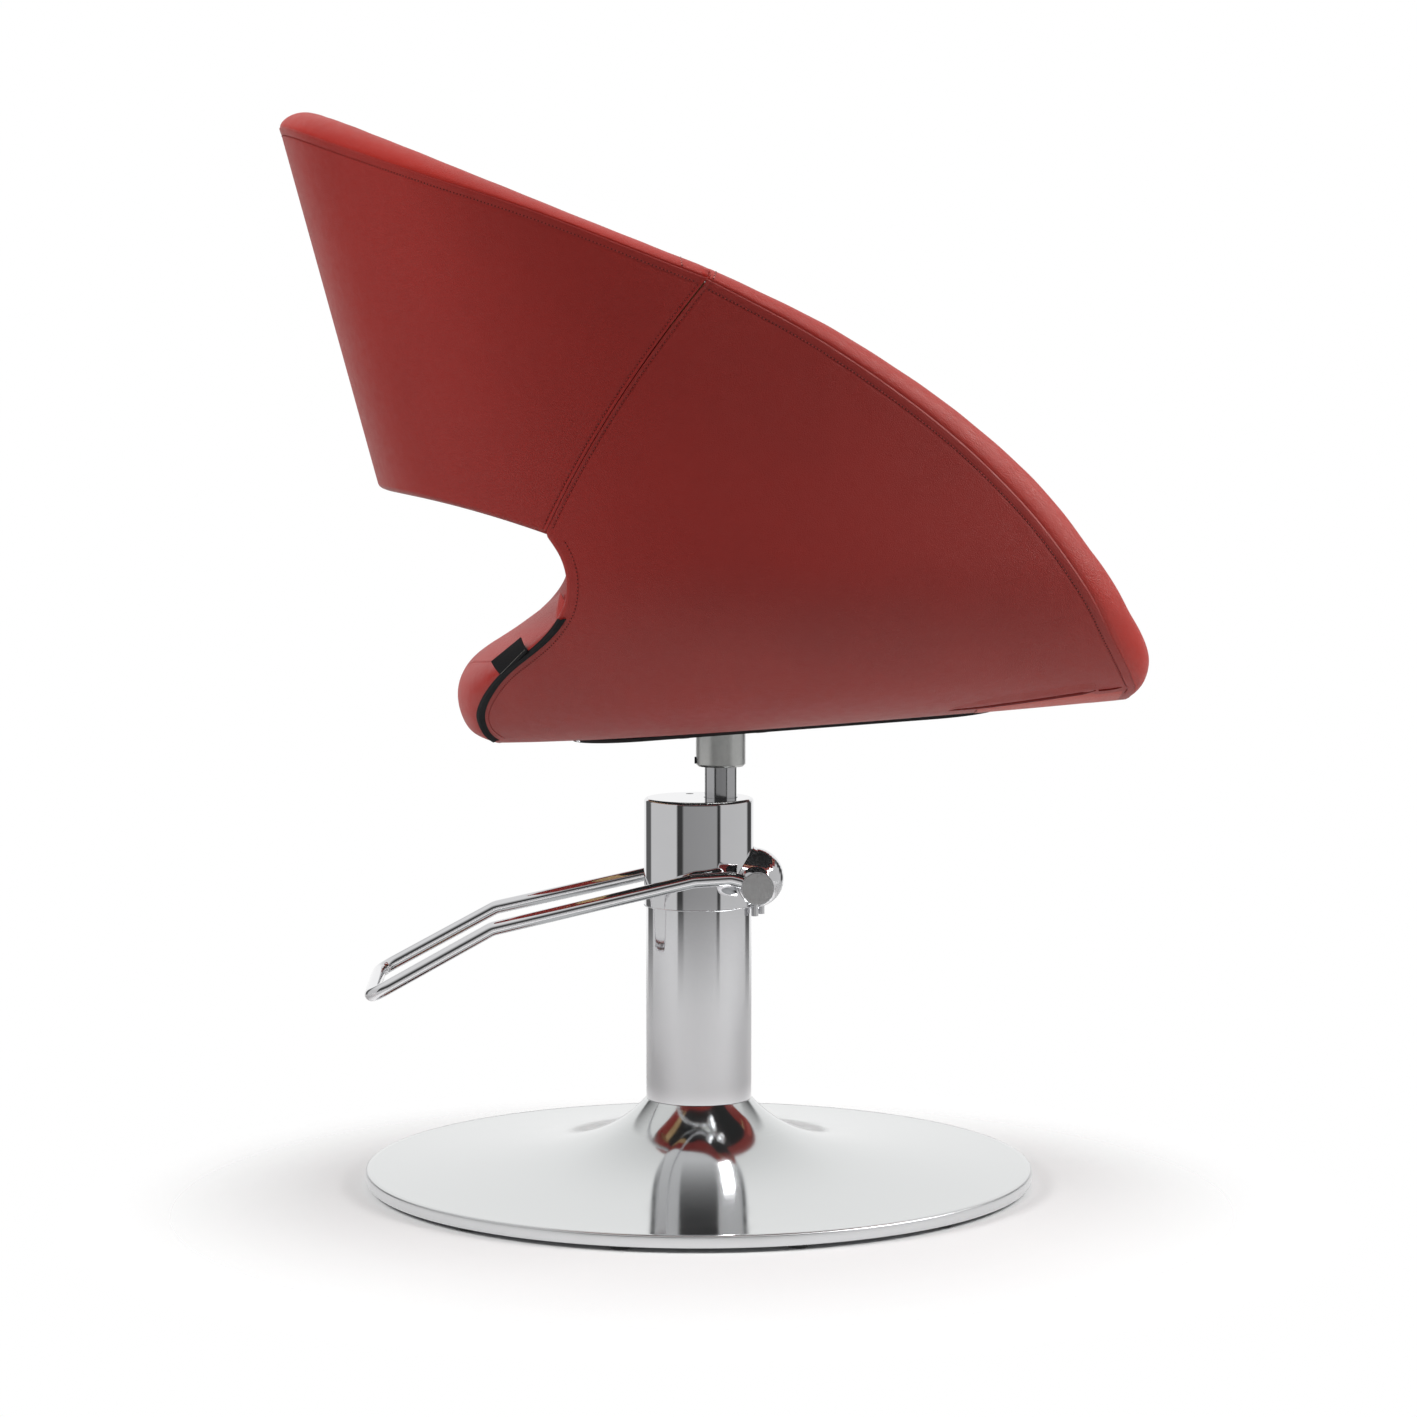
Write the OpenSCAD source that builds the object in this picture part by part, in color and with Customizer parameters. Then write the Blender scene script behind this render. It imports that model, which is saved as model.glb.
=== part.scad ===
// Hydraulic styling chair: trumpet base, pump column with foot pedal, swivelling bucket seat.
// X runs to the front of the seat, Y to its left, Z up. Origin on the floor on the column axis.

/* [Base] */
// outside diameter of the base disc
base_d = 580; // [560:1:610]
// height of the satin rim of the base disc
base_rim_h = 10; // [8:0.5:12]
// height of the rubber foot pads
pad_h = 4; // [3:0.5:6]
// diameter of one rubber foot pad
pad_d = 16; // [12:1:20]
// number of foot pads round the rim
pad_n = 12; // [6:1:16]
// height of the top of the trumpet foot above the floor
foot_top_z = 73; // [68:1:80]
// wall of the spun base cover
base_wall = 2.5; // [2:0.25:3]

/* [Column] */
// outside diameter of the lower cover tube
tube_d = 91.6; // [91:0.1:92]
// outside diameter of the upper sleeve
sleeve_d = 95.2; // [95:0.1:96]
// height of the lower edge of the upper sleeve
sleeve_z = 242; // [238:1:246]
// height of the flat top of the upper sleeve
column_top_z = 335.7; // [335:0.5:342]
// radius of the rounded top edge of the sleeve
sleeve_edge_r = 3; // [1.5:0.5:4]

/* [Ram] */
// diameter of the ram
ram_d = 28; // [27:0.5:29]
// bore of the ram cylinder
bore_d = 34; // [33.5:0.25:34.25]
// distance of the ram axis in front of the column axis
ram_x = 19; // [18.5:0.1:19]
// length of the lifting stroke
stroke = 150; // [120:5:165]
// running clearance between turned faces, radial
fit = 0.05; // [0.04:0.01:0.08]
// gap between pieces that are only seated on each other
seat_gap = 0.3; // [0.25:0.05:0.4]

/* [Pump and pedal] */
// height of the pedal axis
pivot_z = 265.4; // [264:0.2:267]
// distance of the pedal axis in front of the column axis
pivot_x = 47.8; // [47.6:0.1:48.4]
// diameter of the round pump housing
ball_d = 52.4; // [52:0.2:54]
// diameter of the pedal shaft
shaft_d = 13; // [12.6:0.1:13.2]
// diameter of the two hub barrels
hub_d = 28; // [27:0.5:28]
// half of the width over the hub caps
hub_half = 76; // [74:0.5:80]
// diameter of the pedal rod
rod_d = 12; // [11:0.5:12]
// half spacing of the pedal rods at the hub
rod_half_hub = 59; // [58.5:0.5:61]
// half spacing of the pedal rods at the foot bar
rod_half_foot = 75; // [70:1:82]
// distance of the foot bar behind the column axis
foot_bar_x = 281; // [270:1:295]
// height of the foot bar
foot_bar_z = 174.5; // [172:0.5:180]

/* [Seat mount] */
// outside diameter of the socket under the seat
socket_d = 43; // [42:0.5:44]
// height of the lower end of the socket
socket_z = 363; // [362:0.5:365]
// upward tilt of the seat towards the front, degrees
seat_pitch = 4.2; // [4:0.1:4.4]
// height of the mounting plate underside at the ram axis
plate_z = 399.5; // [399:0.25:400]
// side of the square mounting plate
plate_w = 96; // [90:1:100]
// spacing of the plate bolts
bolt_pitch = 66; // [60:1:68]

/* [Shell] */
// overall width of the shell
shell_w = 620; // [600:2:640]
// thickness of the upholstered shell wall
shell_t = 36; // [34:0.5:38]
// thickness of the leather panels with their lining foam
skin_t = 5; // [4:0.5:6]
// thickness of the moulded plywood core
core_t = 11; // [9:0.5:12]
// height of the rear top edge of the outer panel
back_top_z = 910; // [900:1:920]
// distance of that edge behind the column axis
back_top_x = 356; // [350:1:362]
// rearward lean of the back, run over rise
back_lean = 0.27; // [0.25:0.005:0.29]
// depth over which the back curves round into the sides
wrap_depth = 320; // [316:1:324]
// height at which the sides begin to turn under the seat
turn_z = 560; // [550:1:570]
// half width of the flat underside
under_half = 130; // [126:1:134]
// share of the width that the sides draw in at the front
toe_in = 0.16; // [0.12:0.01:0.18]

/* [Seat cushion] */
// height of the cushion crown above the underside of the shell
pad_top = 112; // [104:1:118]
// crown of the cushion in the middle
pad_crown = 9; // [5:1:14]

/* [Hidden] */
$fn = 64;
base_r = base_d / 2;
tube_r = tube_d / 2;
sleeve_r = sleeve_d / 2;
sleeve_in = tube_r + 0.2;
tube_wall = 1.5;
tank_r = 42;
tank_in = 39;
plate_low = pad_h;
plate_top = pad_h + 7.2;
flange_top = plate_top + 8;
flange_r = 76;
bolt_circle_r = 62;
bolt_r = 4;
bolt_head_h = 5.3;
filler_x = -7;
filler_y = 30;
head_z = 300;
head_top = column_top_z - 3 - seat_gap;
ram_r = ram_d / 2;
bore_r = bore_d / 2;
cyl_r = bore_r + 2.5;
cyl_seat = 6;
bush_low = 8;
piston_h = 22;
piston_z = head_z - bush_low - stroke - piston_h - 1;
foot_block_z = piston_z - 12;
ram_z = piston_z + piston_h + seat_gap;
ram_top = 388;
spigot_r = 9;
ball_r = ball_d / 2;
ball_in = ball_r - 3.2;
saddle_r = 45;
saddle_l = 33;
shaft_r = shaft_d / 2;
hub_r = hub_d / 2;
hub_in = 36;
window_r = 25.5;
valve_r = 3;
valve_low = -31.4;
valve_at = [[0.2, -16.5, -13], [6.2, -2, -21.5]];
bush_r = 8;
bush_y = 22.2;
bush_half = 2.5;
arm_h = 14;
arm_x = 9.9;
plunger_r = 3;
plunger_l = 12.5;
boss_r = 4.2;
collar_r = 6;
nose_r = 3;
rocker_r = 8.2;
slot_top = 8.9;
plunger_x = pivot_x + arm_x - 0.1;
rod_r = rod_d / 2;
socket_r = socket_d / 2;
washer_h = 1.6;
set_screw_r = 3;
set_screw_z = 5;
side_w = shell_w / 2;
plan_n = 2.35;
turn_n = 2.3;
core_in = skin_t + seat_gap;
core_out = core_in + core_t;
liner_in = core_out + seat_gap;
panel_drop = 1.5;
seam_gap = 1.1;
back_cols = 13;
back_rows = 7;
side_cols = 12;
side_rows = 20;

// ---------- shapes shared by several pieces ----------

module ring(z0, z1, r_in, r_out) {
  translate([0, 0, z0])
    difference() {
      cylinder(h = z1 - z0, r = r_out);
      translate([0, 0, -1])
        cylinder(h = z1 - z0 + 2, r = r_in);
    }
}

module along_x(x0, x1, r) {
  translate([x0, 0, 0])
    rotate([0, 90, 0])
      cylinder(h = x1 - x0, r = r);
}

module along_y(y0, y1, r) {
  translate([0, y0, 0])
    rotate([-90, 0, 0])
      cylinder(h = y1 - y0, r = r);
}

module at_pivot() {
  translate([pivot_x, 0, pivot_z])
    children();
}

module at_seat() {
  translate([ram_x, 0, plate_z])
    rotate([0, -seat_pitch, 0])
      children();
}

module at_flange_bolts() {
  for (i = [0 : 5])
    rotate([0, 0, 60 * i + 30])
      translate([bolt_circle_r, 0, 0])
        children();
}

module corners(d) {
  for (sx = [-1, 1], sy = [-1, 1])
    translate([sx * d / 2, sy * d / 2, 0])
      children();
}

// height of the polished top of the base at radius r
function trumpet(r) =
  pad_h + base_rim_h
  + 19 * pow(max(0, (base_r - r) / (base_r - 46)), 1.2)
  + (foot_top_z - pad_h - base_rim_h - 19) * exp(-(r - 46) / 38);

trumpet_r = [46, 49, 53, 58, 64, 72, 82, 95, 112, 135, 165, 205, 250, base_r - 1.5];

// ---------- base ----------

module base_cover() {
  color("silver")
    rotate_extrude($fn = 128)
      polygon(concat(
        [[43, foot_top_z], for (r = trumpet_r) [r, trumpet(r)]],
        [[base_r, pad_h + base_rim_h - 1.5], [base_r, pad_h], [base_r - base_wall, pad_h]],
        [[base_r - base_wall, trumpet(base_r - base_wall) - base_wall]],
        [for (i = [len(trumpet_r) - 2 : -1 : 2])
          [trumpet_r[i] - 1.4, trumpet(trumpet_r[i]) - base_wall]],
        [[43, foot_top_z - 6]]));
}

module ballast_plate() {
  color("dimgray")
    difference() {
      translate([0, 0, plate_low])
        cylinder(h = plate_top - plate_low, r = base_r - base_wall - 1, $fn = 128);
      at_flange_bolts()
        cylinder(h = 40, r = bolt_r + fit);
    }
}

module foot_pads() {
  color("#1c1c1c")
    for (i = [0 : pad_n - 1])
      rotate([0, 0, 360 / pad_n * (i + 0.5)])
        translate([base_r - pad_d / 2 - 6, 0, 0])
          cylinder(h = pad_h, r = pad_d / 2, $fn = 32);
}

module pump_foot() {
  color("gray")
    difference() {
      union() {
        translate([0, 0, plate_top])
          cylinder(h = flange_top - plate_top, r = flange_r);
        translate([0, 0, plate_top])
          cylinder(h = foot_block_z - plate_top, r = tank_r);
      }
      translate([ram_x, 0, foot_block_z - cyl_seat])
        cylinder(h = cyl_seat + 4, r = cyl_r + fit);
      at_flange_bolts()
        cylinder(h = 40, r = bolt_r + 0.5);
    }
}

module flange_bolts() {
  color("silver")
    at_flange_bolts() {
      translate([0, 0, pad_h + 1])
        cylinder(h = flange_top - pad_h, r = bolt_r);
      translate([0, 0, flange_top])
        cylinder(h = bolt_head_h, r = 7.5, $fn = 6);
    }
}

// ---------- column ----------

module window_cut(r) {
  at_pivot()
    along_x(-pivot_x + 20, 30, r);
}

module lower_tube() {
  color("silver")
    difference() {
      ring(foot_top_z + seat_gap, sleeve_z + 9, tube_r - tube_wall, tube_r);
      window_cut(window_r);
    }
}

module upper_sleeve() {
  e = sleeve_edge_r;
  color("silver")
    difference() {
      rotate_extrude($fn = 96)
        difference() {
          union() {
            translate([0, sleeve_z])
              square([sleeve_r, column_top_z - e - sleeve_z]);
            translate([0, column_top_z - e - 1])
              square([sleeve_r - e, e + 1]);
            translate([sleeve_r - e, column_top_z - e])
              circle(r = e);
          }
          translate([-1, sleeve_z - 1])
            square([sleeve_in + 1, column_top_z - 3 - sleeve_z + 1]);
        }
      window_cut(window_r);
      translate([ram_x, 0, head_top])
        cylinder(h = 10, r = ram_r + 0.6);
      translate([filler_x, filler_y, head_top])
        cylinder(h = 10, r = 3.4);
    }
}

module filler_screw() {
  color("silver")
    translate([filler_x, filler_y, 0])
      difference() {
        union() {
          translate([0, 0, head_top - 9])
            cylinder(h = 9, r = 3);
          translate([0, 0, head_top - 0.5])
            cylinder(h = 2.8, r = 3);
        }
        translate([0, 0, head_top + 0.8])
          cylinder(h = 4, r = 1.6, $fn = 6);
      }
}

module tank_tube() {
  color("gray")
    difference() {
      ring(foot_block_z, head_top, tank_in, tank_r);
      at_pivot()
        translate([-20, -11.4, -18.8])
          cube([40, 22.8, 43]);
    }
}

module ram_cylinder() {
  color("lightgray")
    translate([ram_x, 0, 0])
      ring(foot_block_z - cyl_seat, head_z, bore_r, cyl_r);
}

module cylinder_head() {
  color("gray")
    difference() {
      translate([0, 0, head_z])
        cylinder(h = head_top - head_z, r = tank_in - fit);
      translate([ram_x, 0, head_z - 1])
        cylinder(h = 60, r = 19);
      translate([filler_x, filler_y, head_z - 1])
        cylinder(h = 60, r = 3 + fit);
    }
}

module guide_bush() {
  color("goldenrod")
    translate([ram_x, 0, 0])
      difference() {
        union() {
          ring(head_z, head_top, ram_r + fit, 19 - fit);
          ring(head_z - bush_low, head_z, ram_r + fit, bore_r - fit);
        }
        translate([0, 0, head_top - 5])
          cylinder(h = 6, r = ram_r + 2.5);
      }
}

module wiper_ring() {
  color("#222222")
    translate([ram_x, 0, 0])
      ring(head_top - 4.9, head_top - 0.2, ram_r + fit, ram_r + 2.4);
}

// ---------- pump ----------

module ball_housing() {
  color("silver")
    at_pivot()
      difference() {
        rotate([0, 90, 0])
          rotate_extrude($fn = 96)
            polygon(concat(
              [for (a = [0 : 6 : 84]) ball_r * [sin(a), cos(a)]],
              [[saddle_r, -saddle_l], [ball_in, -saddle_l]],
              [for (a = [90 : -6 : 0]) ball_in * [sin(a), cos(a)]]));
        translate([-pivot_x, 0, -60])
          cylinder(h = 120, r = sleeve_r + seat_gap, $fn = 96);
        along_y(-40, 40, bush_r);
        for (p = valve_at)
          translate([p[0], p[1], -40])
            cylinder(h = 40, r = valve_r + fit);
      }
}

module pump_block() {
  color("dimgray")
    at_pivot()
      difference() {
        union() {
          translate([-8.6, -8, slot_top - 1])
            cube([8, 16, 12]);
          translate([-8.6, -11, -18])
            cube([8, 22, 18 + slot_top]);
          translate([-1, -11, -12])
            cube([10.2, 22, 12 + slot_top - 0.6]);
          translate([0, 0, arm_h])
            along_x(-1, 2.6, boss_r);
        }
        translate([-20, -4.3, -10])
          cube([60, 8.6, 10 + slot_top]);
        along_y(-20, 20, shaft_r + fit);
        translate([0, 0, arm_h])
          along_x(-7.6, 20, plunger_r + fit);
      }
}

module shaft_bushes() {
  color("goldenrod")
    at_pivot()
      for (s = [-1, 1])
        translate([0, s * bush_y, 0])
          difference() {
            along_y(-bush_half, bush_half, bush_r - fit);
            along_y(-4, 4, shaft_r + fit);
          }
}

module valve_screws() {
  color("silver")
    for (p = valve_at)
      at_pivot()
        translate([p[0], p[1], valve_low])
          difference() {
            cylinder(h = p[2] - valve_low, r = valve_r);
            translate([0, 0, -1])
              cylinder(h = 3.5, r = 1.6, $fn = 6);
          }
}

module plunger() {
  color("lightgray")
    translate([0, 0, pivot_z + arm_h]) {
      along_x(plunger_x - plunger_l, plunger_x, plunger_r);
      along_x(plunger_x - 2, plunger_x, collar_r);
    }
}

coil_turns = 3;
coil_steps = 14;
coil_r = 5;
coil_wire = 0.4;
coil_x0 = pivot_x - 0.6 + seat_gap + coil_wire;
coil_x1 = plunger_x - 2 - seat_gap - coil_wire;
coil_n = coil_turns * coil_steps;

function coil_pt(i, j) =
  let (a = 360 * i / coil_steps, b = 60 * j)
  [
    coil_x0 + (coil_x1 - coil_x0) * i / coil_n + coil_wire * sin(b),
    (coil_r + coil_wire * cos(b)) * cos(a),
    (coil_r + coil_wire * cos(b)) * sin(a)
  ];

module plunger_spring() {
  color("gray")
    translate([0, 0, pivot_z + arm_h])
      polyhedron(
        points = [for (i = [0 : coil_n], j = [0 : 5]) coil_pt(i, j)],
        faces = concat(
          [for (i = [0 : coil_n - 1], j = [0 : 5])
            [i * 6 + j, i * 6 + (j + 1) % 6, i * 6 + 6 + (j + 1) % 6, i * 6 + 6 + j]],
          [[5, 4, 3, 2, 1, 0]],
          [[for (j = [0 : 5]) coil_n * 6 + j]]));
}

// ---------- pedal ----------

module pedal_shaft() {
  color("silver")
    at_pivot()
      along_y(-hub_half + 2, hub_half - 2, shaft_r);
}

module hub_barrels() {
  color("silver")
    for (s = [0, 1])
      mirror([0, s, 0])
        difference() {
          at_pivot()
            along_y(hub_in, hub_half - 1.5, hub_r);
          at_pivot()
            along_y(0, hub_half, shaft_r + fit);
          strut(rod_path[0], rod_path[1], rod_r + fit);
        }
}

module hub_caps() {
  color("gray")
    at_pivot()
      for (s = [-1, 1])
        translate([0, s * (hub_half - 0.6), 0])
          along_y(-0.6, 0.6, hub_r - 0.8);
}

rod_path = [
  [pivot_x - shaft_r - 1, rod_half_hub, pivot_z + 2.6],
  [26, rod_half_hub - 0.4, pivot_z + 6.4],
  [-6, rod_half_hub - 0.2, pivot_z + 4.6],
  [-178, rod_half_hub + 9.4, 231],
  [-foot_bar_x, rod_half_foot, foot_bar_z]
];

module strut(a, b, r) {
  d = b - a;
  l = norm(d);
  translate(a)
    rotate([0, acos(d[2] / l), atan2(d[1], d[0])])
      cylinder(h = l, r = r);
}

module rod_side() {
  for (i = [0 : len(rod_path) - 2])
    strut(rod_path[i], rod_path[i + 1], rod_r);
  for (i = [1 : len(rod_path) - 1])
    translate(rod_path[i])
      sphere(r = rod_r + 0.12, $fn = 32);
}

module pedal_rods() {
  color("silver") {
    rod_side();
    mirror([0, 1, 0])
      rod_side();
    translate([-foot_bar_x, 0, foot_bar_z])
      along_y(-rod_half_foot, rod_half_foot, rod_r);
  }
}

module rocker() {
  color("dimgray")
    at_pivot()
      difference() {
        translate([0, 3.8, 0])
          rotate([90, 0, 0])
            linear_extrude(7.6)
              union() {
                circle(r = rocker_r);
                translate([arm_x + nose_r, arm_h])
                  circle(r = nose_r);
                polygon([
                  [2, -rocker_r + 0.3], [arm_x, -4], [arm_x + 2 * nose_r, 8],
                  [arm_x + 2 * nose_r, arm_h], [arm_x + nose_r, arm_h], [arm_x + 1, 3.5], [3, 6.4]
                ]);
              }
        along_y(-10, 10, shaft_r + fit);
      }
}

// ---------- ram ----------

module piston_head() {
  color("gray")
    translate([ram_x, 0, 0])
      difference() {
        ring(piston_z, piston_z + piston_h, spigot_r + fit, bore_r - fit);
        ring(piston_z + 8, piston_z + 13, bore_r - 3, bore_r + 1);
      }
}

module piston_seal() {
  color("#222222")
    translate([ram_x, 0, 0])
      ring(piston_z + 8.2, piston_z + 12.8, bore_r - 2.9, bore_r - fit);
}

module ram_rod() {
  color("silver")
    translate([ram_x, 0, 0]) {
      translate([0, 0, ram_z])
        cylinder(h = ram_top - ram_z, r = ram_r);
      difference() {
        translate([0, 0, piston_z - 6])
          cylinder(h = ram_z - piston_z + 6, r = spigot_r);
        ring(piston_z - 2.6, piston_z - 0.6, spigot_r - 1, spigot_r + 1);
      }
    }
}

module retaining_ring() {
  color("dimgray")
    translate([ram_x, 0, 0])
      ring(piston_z - 2.5, piston_z - 0.7, spigot_r - 0.9, spigot_r + 3.5);
}

// ---------- seat mount ----------

module socket() {
  color("lightgray")
    difference() {
      translate([ram_x, 0, 0])
        union() {
          translate([0, 0, socket_z])
            cylinder(h = 2, r1 = socket_r - 2, r2 = socket_r);
          translate([0, 0, socket_z + 2])
            cylinder(h = 40, r = socket_r);
          translate([0, 0, plate_z - 7])
            cylinder(h = 12, r = socket_r + 1.6);
        }
      at_seat()
        translate([-60, -60, 0])
          cube([120, 120, 60]);
      translate([ram_x, 0, socket_z - 1])
        cylinder(h = ram_top + 0.5 - socket_z + 1, r = ram_r + fit);
      translate([0, 0, socket_z + set_screw_z])
        along_x(ram_x - 40, ram_x, set_screw_r + fit);
    }
}

module socket_screw() {
  color("#222222")
    translate([0, 0, socket_z + set_screw_z])
      difference() {
        along_x(ram_x - socket_r - 1.2, ram_x - ram_r - 0.1, set_screw_r);
        translate([ram_x - socket_r - 2, 0, 0])
          rotate([0, 90, 0])
            cylinder(h = 3.5, r = 1.5, $fn = 6);
      }
}

module mounting_plate() {
  color("lightgray")
    at_seat()
      difference() {
        translate([-plate_w / 2, -plate_w / 2, 0])
          cube([plate_w, plate_w, 5]);
        corners(bolt_pitch)
          translate([0, 0, -1])
            cylinder(h = 8, r = bolt_r + 0.5);
      }
}

module plate_washers() {
  color("lightgray")
    at_seat()
      corners(bolt_pitch)
        ring(-washer_h, 0, bolt_r + 0.3, 8);
}

module plate_bolts() {
  color("silver")
    at_seat()
      corners(bolt_pitch) {
        translate([0, 0, -washer_h - bolt_head_h])
          cylinder(h = bolt_head_h, r = 6.5, $fn = 6);
        translate([0, 0, -washer_h - bolt_head_h])
          cylinder(h = 22, r = bolt_r);
      }
}

module slab(z0, z1, x0, x1, half, r) {
  translate([0, 0, z0])
    linear_extrude(z1 - z0)
      union() {
        translate([x0, -half + r])
          square([x1 - x0, 2 * (half - r)]);
        translate([x0 + r, -half])
          square([x1 - x0 - 2 * r, 2 * half]);
        for (x = [x0 + r, x1 - r], y = [-half + r, half - r])
          translate([x, y])
            circle(r = r);
      }
}

pan_low = 5.3;
pan_h = 18;
pan_rear = -158.7;
pan_front = 300;
pan_mid = (pan_rear + pan_front) / 2;
pan_len = (pan_front - pan_rear) / 2;
pan_steps = 28;
function pan_at(i) = pan_mid - pan_len * cos(180 * i / pan_steps);
function pan_half(x) =
  (under_half * toe(x + ram_x) * wrap_y((x + ram_x - rear_x(under(x))) / wrap_depth) - 3.8)
  * pow(1 - pow(abs(x - pan_mid) / pan_len, 16), 0.25);

module seat_pan() {
  color("burlywood")
    at_seat()
      difference() {
        translate([0, 0, pan_low])
          linear_extrude(pan_h)
            polygon(concat(
              [for (i = [0 : pan_steps]) [pan_at(i), -pan_half(pan_at(i))]],
              [for (i = [pan_steps - 1 : -1 : 1]) [pan_at(i), pan_half(pan_at(i))]]));
        corners(bolt_pitch)
          cylinder(h = 40, r = bolt_r + fit);
      }
}

cover_rear = -128;
cover_front = 232;
module bottom_cover() {
  color("#161616")
    at_seat()
      difference() {
        slab(2.2, 5, cover_rear, cover_front, 134, 60);
        translate([-plate_w / 2 - 1, -plate_w / 2 - 1, -5])
          cube([plate_w + 2, plate_w + 2, 20]);
      }
}

// ---------- shell surface ----------

// height of the underside of the shell
function under(x) = 404 + tan(seat_pitch) * x;

// rear face of the back at height z
function rear_x(z) = -back_top_x + (back_top_z - z) * back_lean;

// outline of the wrap seen from above: 0 at the middle of the back, 1 where the side is straight
function wrap_x(phi) = 1 - pow(max(0, cos(phi)), 2 / plan_n);
function wrap_y(s) = s >= 1 ? 1 : pow(1 - pow(1 - max(0, s), plan_n), 1 / plan_n);
function wrap_phi(s) = acos(pow(max(0, 1 - s), plan_n / 2));

function turn(x, z) = min(1, max(0, (turn_z - z) / (turn_z - under(x))));
function half_at(k, t) = under_half + (side_w - under_half - t) * pow(1 - pow(k, turn_n), 1 / turn_n);
function toe(x) = 1 - toe_in * pow(max(0, (x - 60) / 300), 2);

// point of the side at depth t under the outer face; x and z are taken on the outer face
function side_pt(x, z, t) =
  let (
    k = turn(x, z),
    s = (x - rear_x(z)) / wrap_depth,
    xi = s < 1 ? rear_x(z) + t + s * (wrap_depth - t) : x,
    zi = z < turn_z ? turn_z - k * (turn_z - under(x) - t) : z
  )
  [xi, -half_at(k, t) * wrap_y(s) * toe(x), zi];

// point of the back at depth t
function back_pt(phi, z, t) =
  let (s = wrap_x(abs(phi)))
  [
    rear_x(z) + t + s * (wrap_depth - t),
    -sign(phi) * (side_w - t) * wrap_y(s),
    z
  ];

function mix(a, b, f) = a + (b - a) * f;
function spline(p, u) =
  let (
    n = len(p) - 1,
    i = min(n - 1, floor(u * n)),
    f = u * n - i,
    a = p[max(0, i - 1)],
    b = p[i],
    c = p[i + 1],
    d = p[min(n, i + 2)]
  )
  0.5 * (2 * b + (c - a) * f + (2 * a - 5 * b + 4 * c - d) * f * f
  + (3 * b - a - 3 * c + d) * f * f * f);

// ---------- rim of the shell ----------

// crest of the rim round the back, by wrap angle
function back_crest_z(phi) =
  let (s = wrap_x(phi))
  back_top_z + 10.5 - 146 * s + 8 * s * s;
// height of the band outside, from the middle of the back to the side seam
back_bands = [12.4, 12.9, 13.9, 12, 7.8, 9.8];
function back_seam_z(phi) = back_crest_z(phi) - spline(back_bands, phi / 90);

// crest of the rim down the side, x and outer height
back_side_x = rear_x(back_crest_z(90)) + wrap_depth;
side_crest = [
  [back_side_x, back_crest_z(90)], [94, 736.4], [189.4, 674.7], [263, 611],
  [313, 547.5], [341, 497], [358, 464], [362.5, 445], [357, under(357) + 1]
];

function side_normal(u) =
  let (
    a = spline(side_crest, max(0, u - 0.01)),
    b = spline(side_crest, min(1, u + 0.01)),
    d = b - a
  )
  [-d[1], d[0]] / norm(d);
// width of the band outside, from the side seam down to the front
side_bands = [8.6, 13.3, 17.2, 20.6, 20.6, 18.9, 16.2, 12.2, 8.4];
function side_seam(u) = spline(side_crest, u) - side_normal(u) * spline(side_bands, u);

// three guide points of the rim at one station: outer seam, crest, inner seam
function rim_back(phi) =
  let (zs = back_seam_z(phi))
  [
    back_pt(phi, zs, 0),
    back_pt(phi, back_crest_z(phi), shell_t / 2 + 6 * cos(phi)),
    back_pt(phi, zs, shell_t)
  ];
function rim_side(u) =
  let (c = spline(side_crest, u), o = side_seam(u))
  [side_pt(o[0], o[1], 0), side_pt(c[0], c[1], shell_t / 2), side_pt(o[0], o[1], shell_t)];
function rim_front(f) =
  let (e = rim_side(1))
  [for (p = e) [p[0] + 3 * f, p[1] * (1 - f), p[2]]];

rim_half = concat(
  [for (f = [1, 0.66, 0.33]) rim_front(f)],
  [for (i = [20 : -1 : 1]) rim_side(i / 20)],
  [for (i = [11 : -1 : 0]) rim_back(max(0.001, 90 * i / 11))]
);
function flip(st) = [for (p = st) [p[0], -p[1], p[2]]];
rim_all = concat(rim_half, [for (i = [len(rim_half) - 2 : -1 : 1]) flip(rim_half[i])]);
rim_m = 7;
function rim_pt(st, j) =
  let (a = 180 * j / (rim_m - 1), m = (st[0] + st[2]) / 2)
  m + (st[0] - st[2]) / 2 * cos(a) + (st[1] - m) * sin(a);

module rim_band() {
  n = len(rim_all);
  color("firebrick")
    polyhedron(
      points = [for (st = rim_all, j = [0 : rim_m - 1]) rim_pt(st, j)],
      faces = [for (i = [0 : n - 1], j = [0 : rim_m - 1])
        [i * rim_m + j, ((i + 1) % n) * rim_m + j,
          ((i + 1) % n) * rim_m + (j + 1) % rim_m, i * rim_m + (j + 1) % rim_m]],
      convexity = 8);
}

// ---------- shell layers ----------

// seam between the back and the side, from the notch up to the rim
function seam_x(b) = mix(-128.3, back_side_x - 1, b) - 36 * b * (1 - b);
function seam_z(b) = mix(577, back_seam_z(90), b);

// rear edge of the side, from the underside round the lobe and the notch, then up the seam
lobe = [
  [-167, under(-167)], [-181, 404], [-183.5, 425], [-166, 455], [-130, 488.4],
  [-114, 512], [-110.5, 536], [-115.5, 557], [-128.3, 577]
];
lobe_part = 0.6;
seam_end = 0.975;
function side_rear(b) =
  b < lobe_part ? spline(lobe, b / lobe_part)
  : let (v = seam_end * (b - lobe_part) / (1 - lobe_part)) [seam_x(v) + seam_gap, seam_z(v)];
side_low_u = 0.9;
function side_grid(a, b, t) =
  let (
    l = side_rear(b),
    u = side_low_u * (1 - b) + 0.012,
    r = side_seam(u) - side_normal(u) * panel_drop,
    x = mix(l[0], r[0], a),
    z = mix(l[1], r[1], a)
  )
  side_pt(x, mix(under(x), max(z, under(x)), min(1, b * side_rows)), t);

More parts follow.
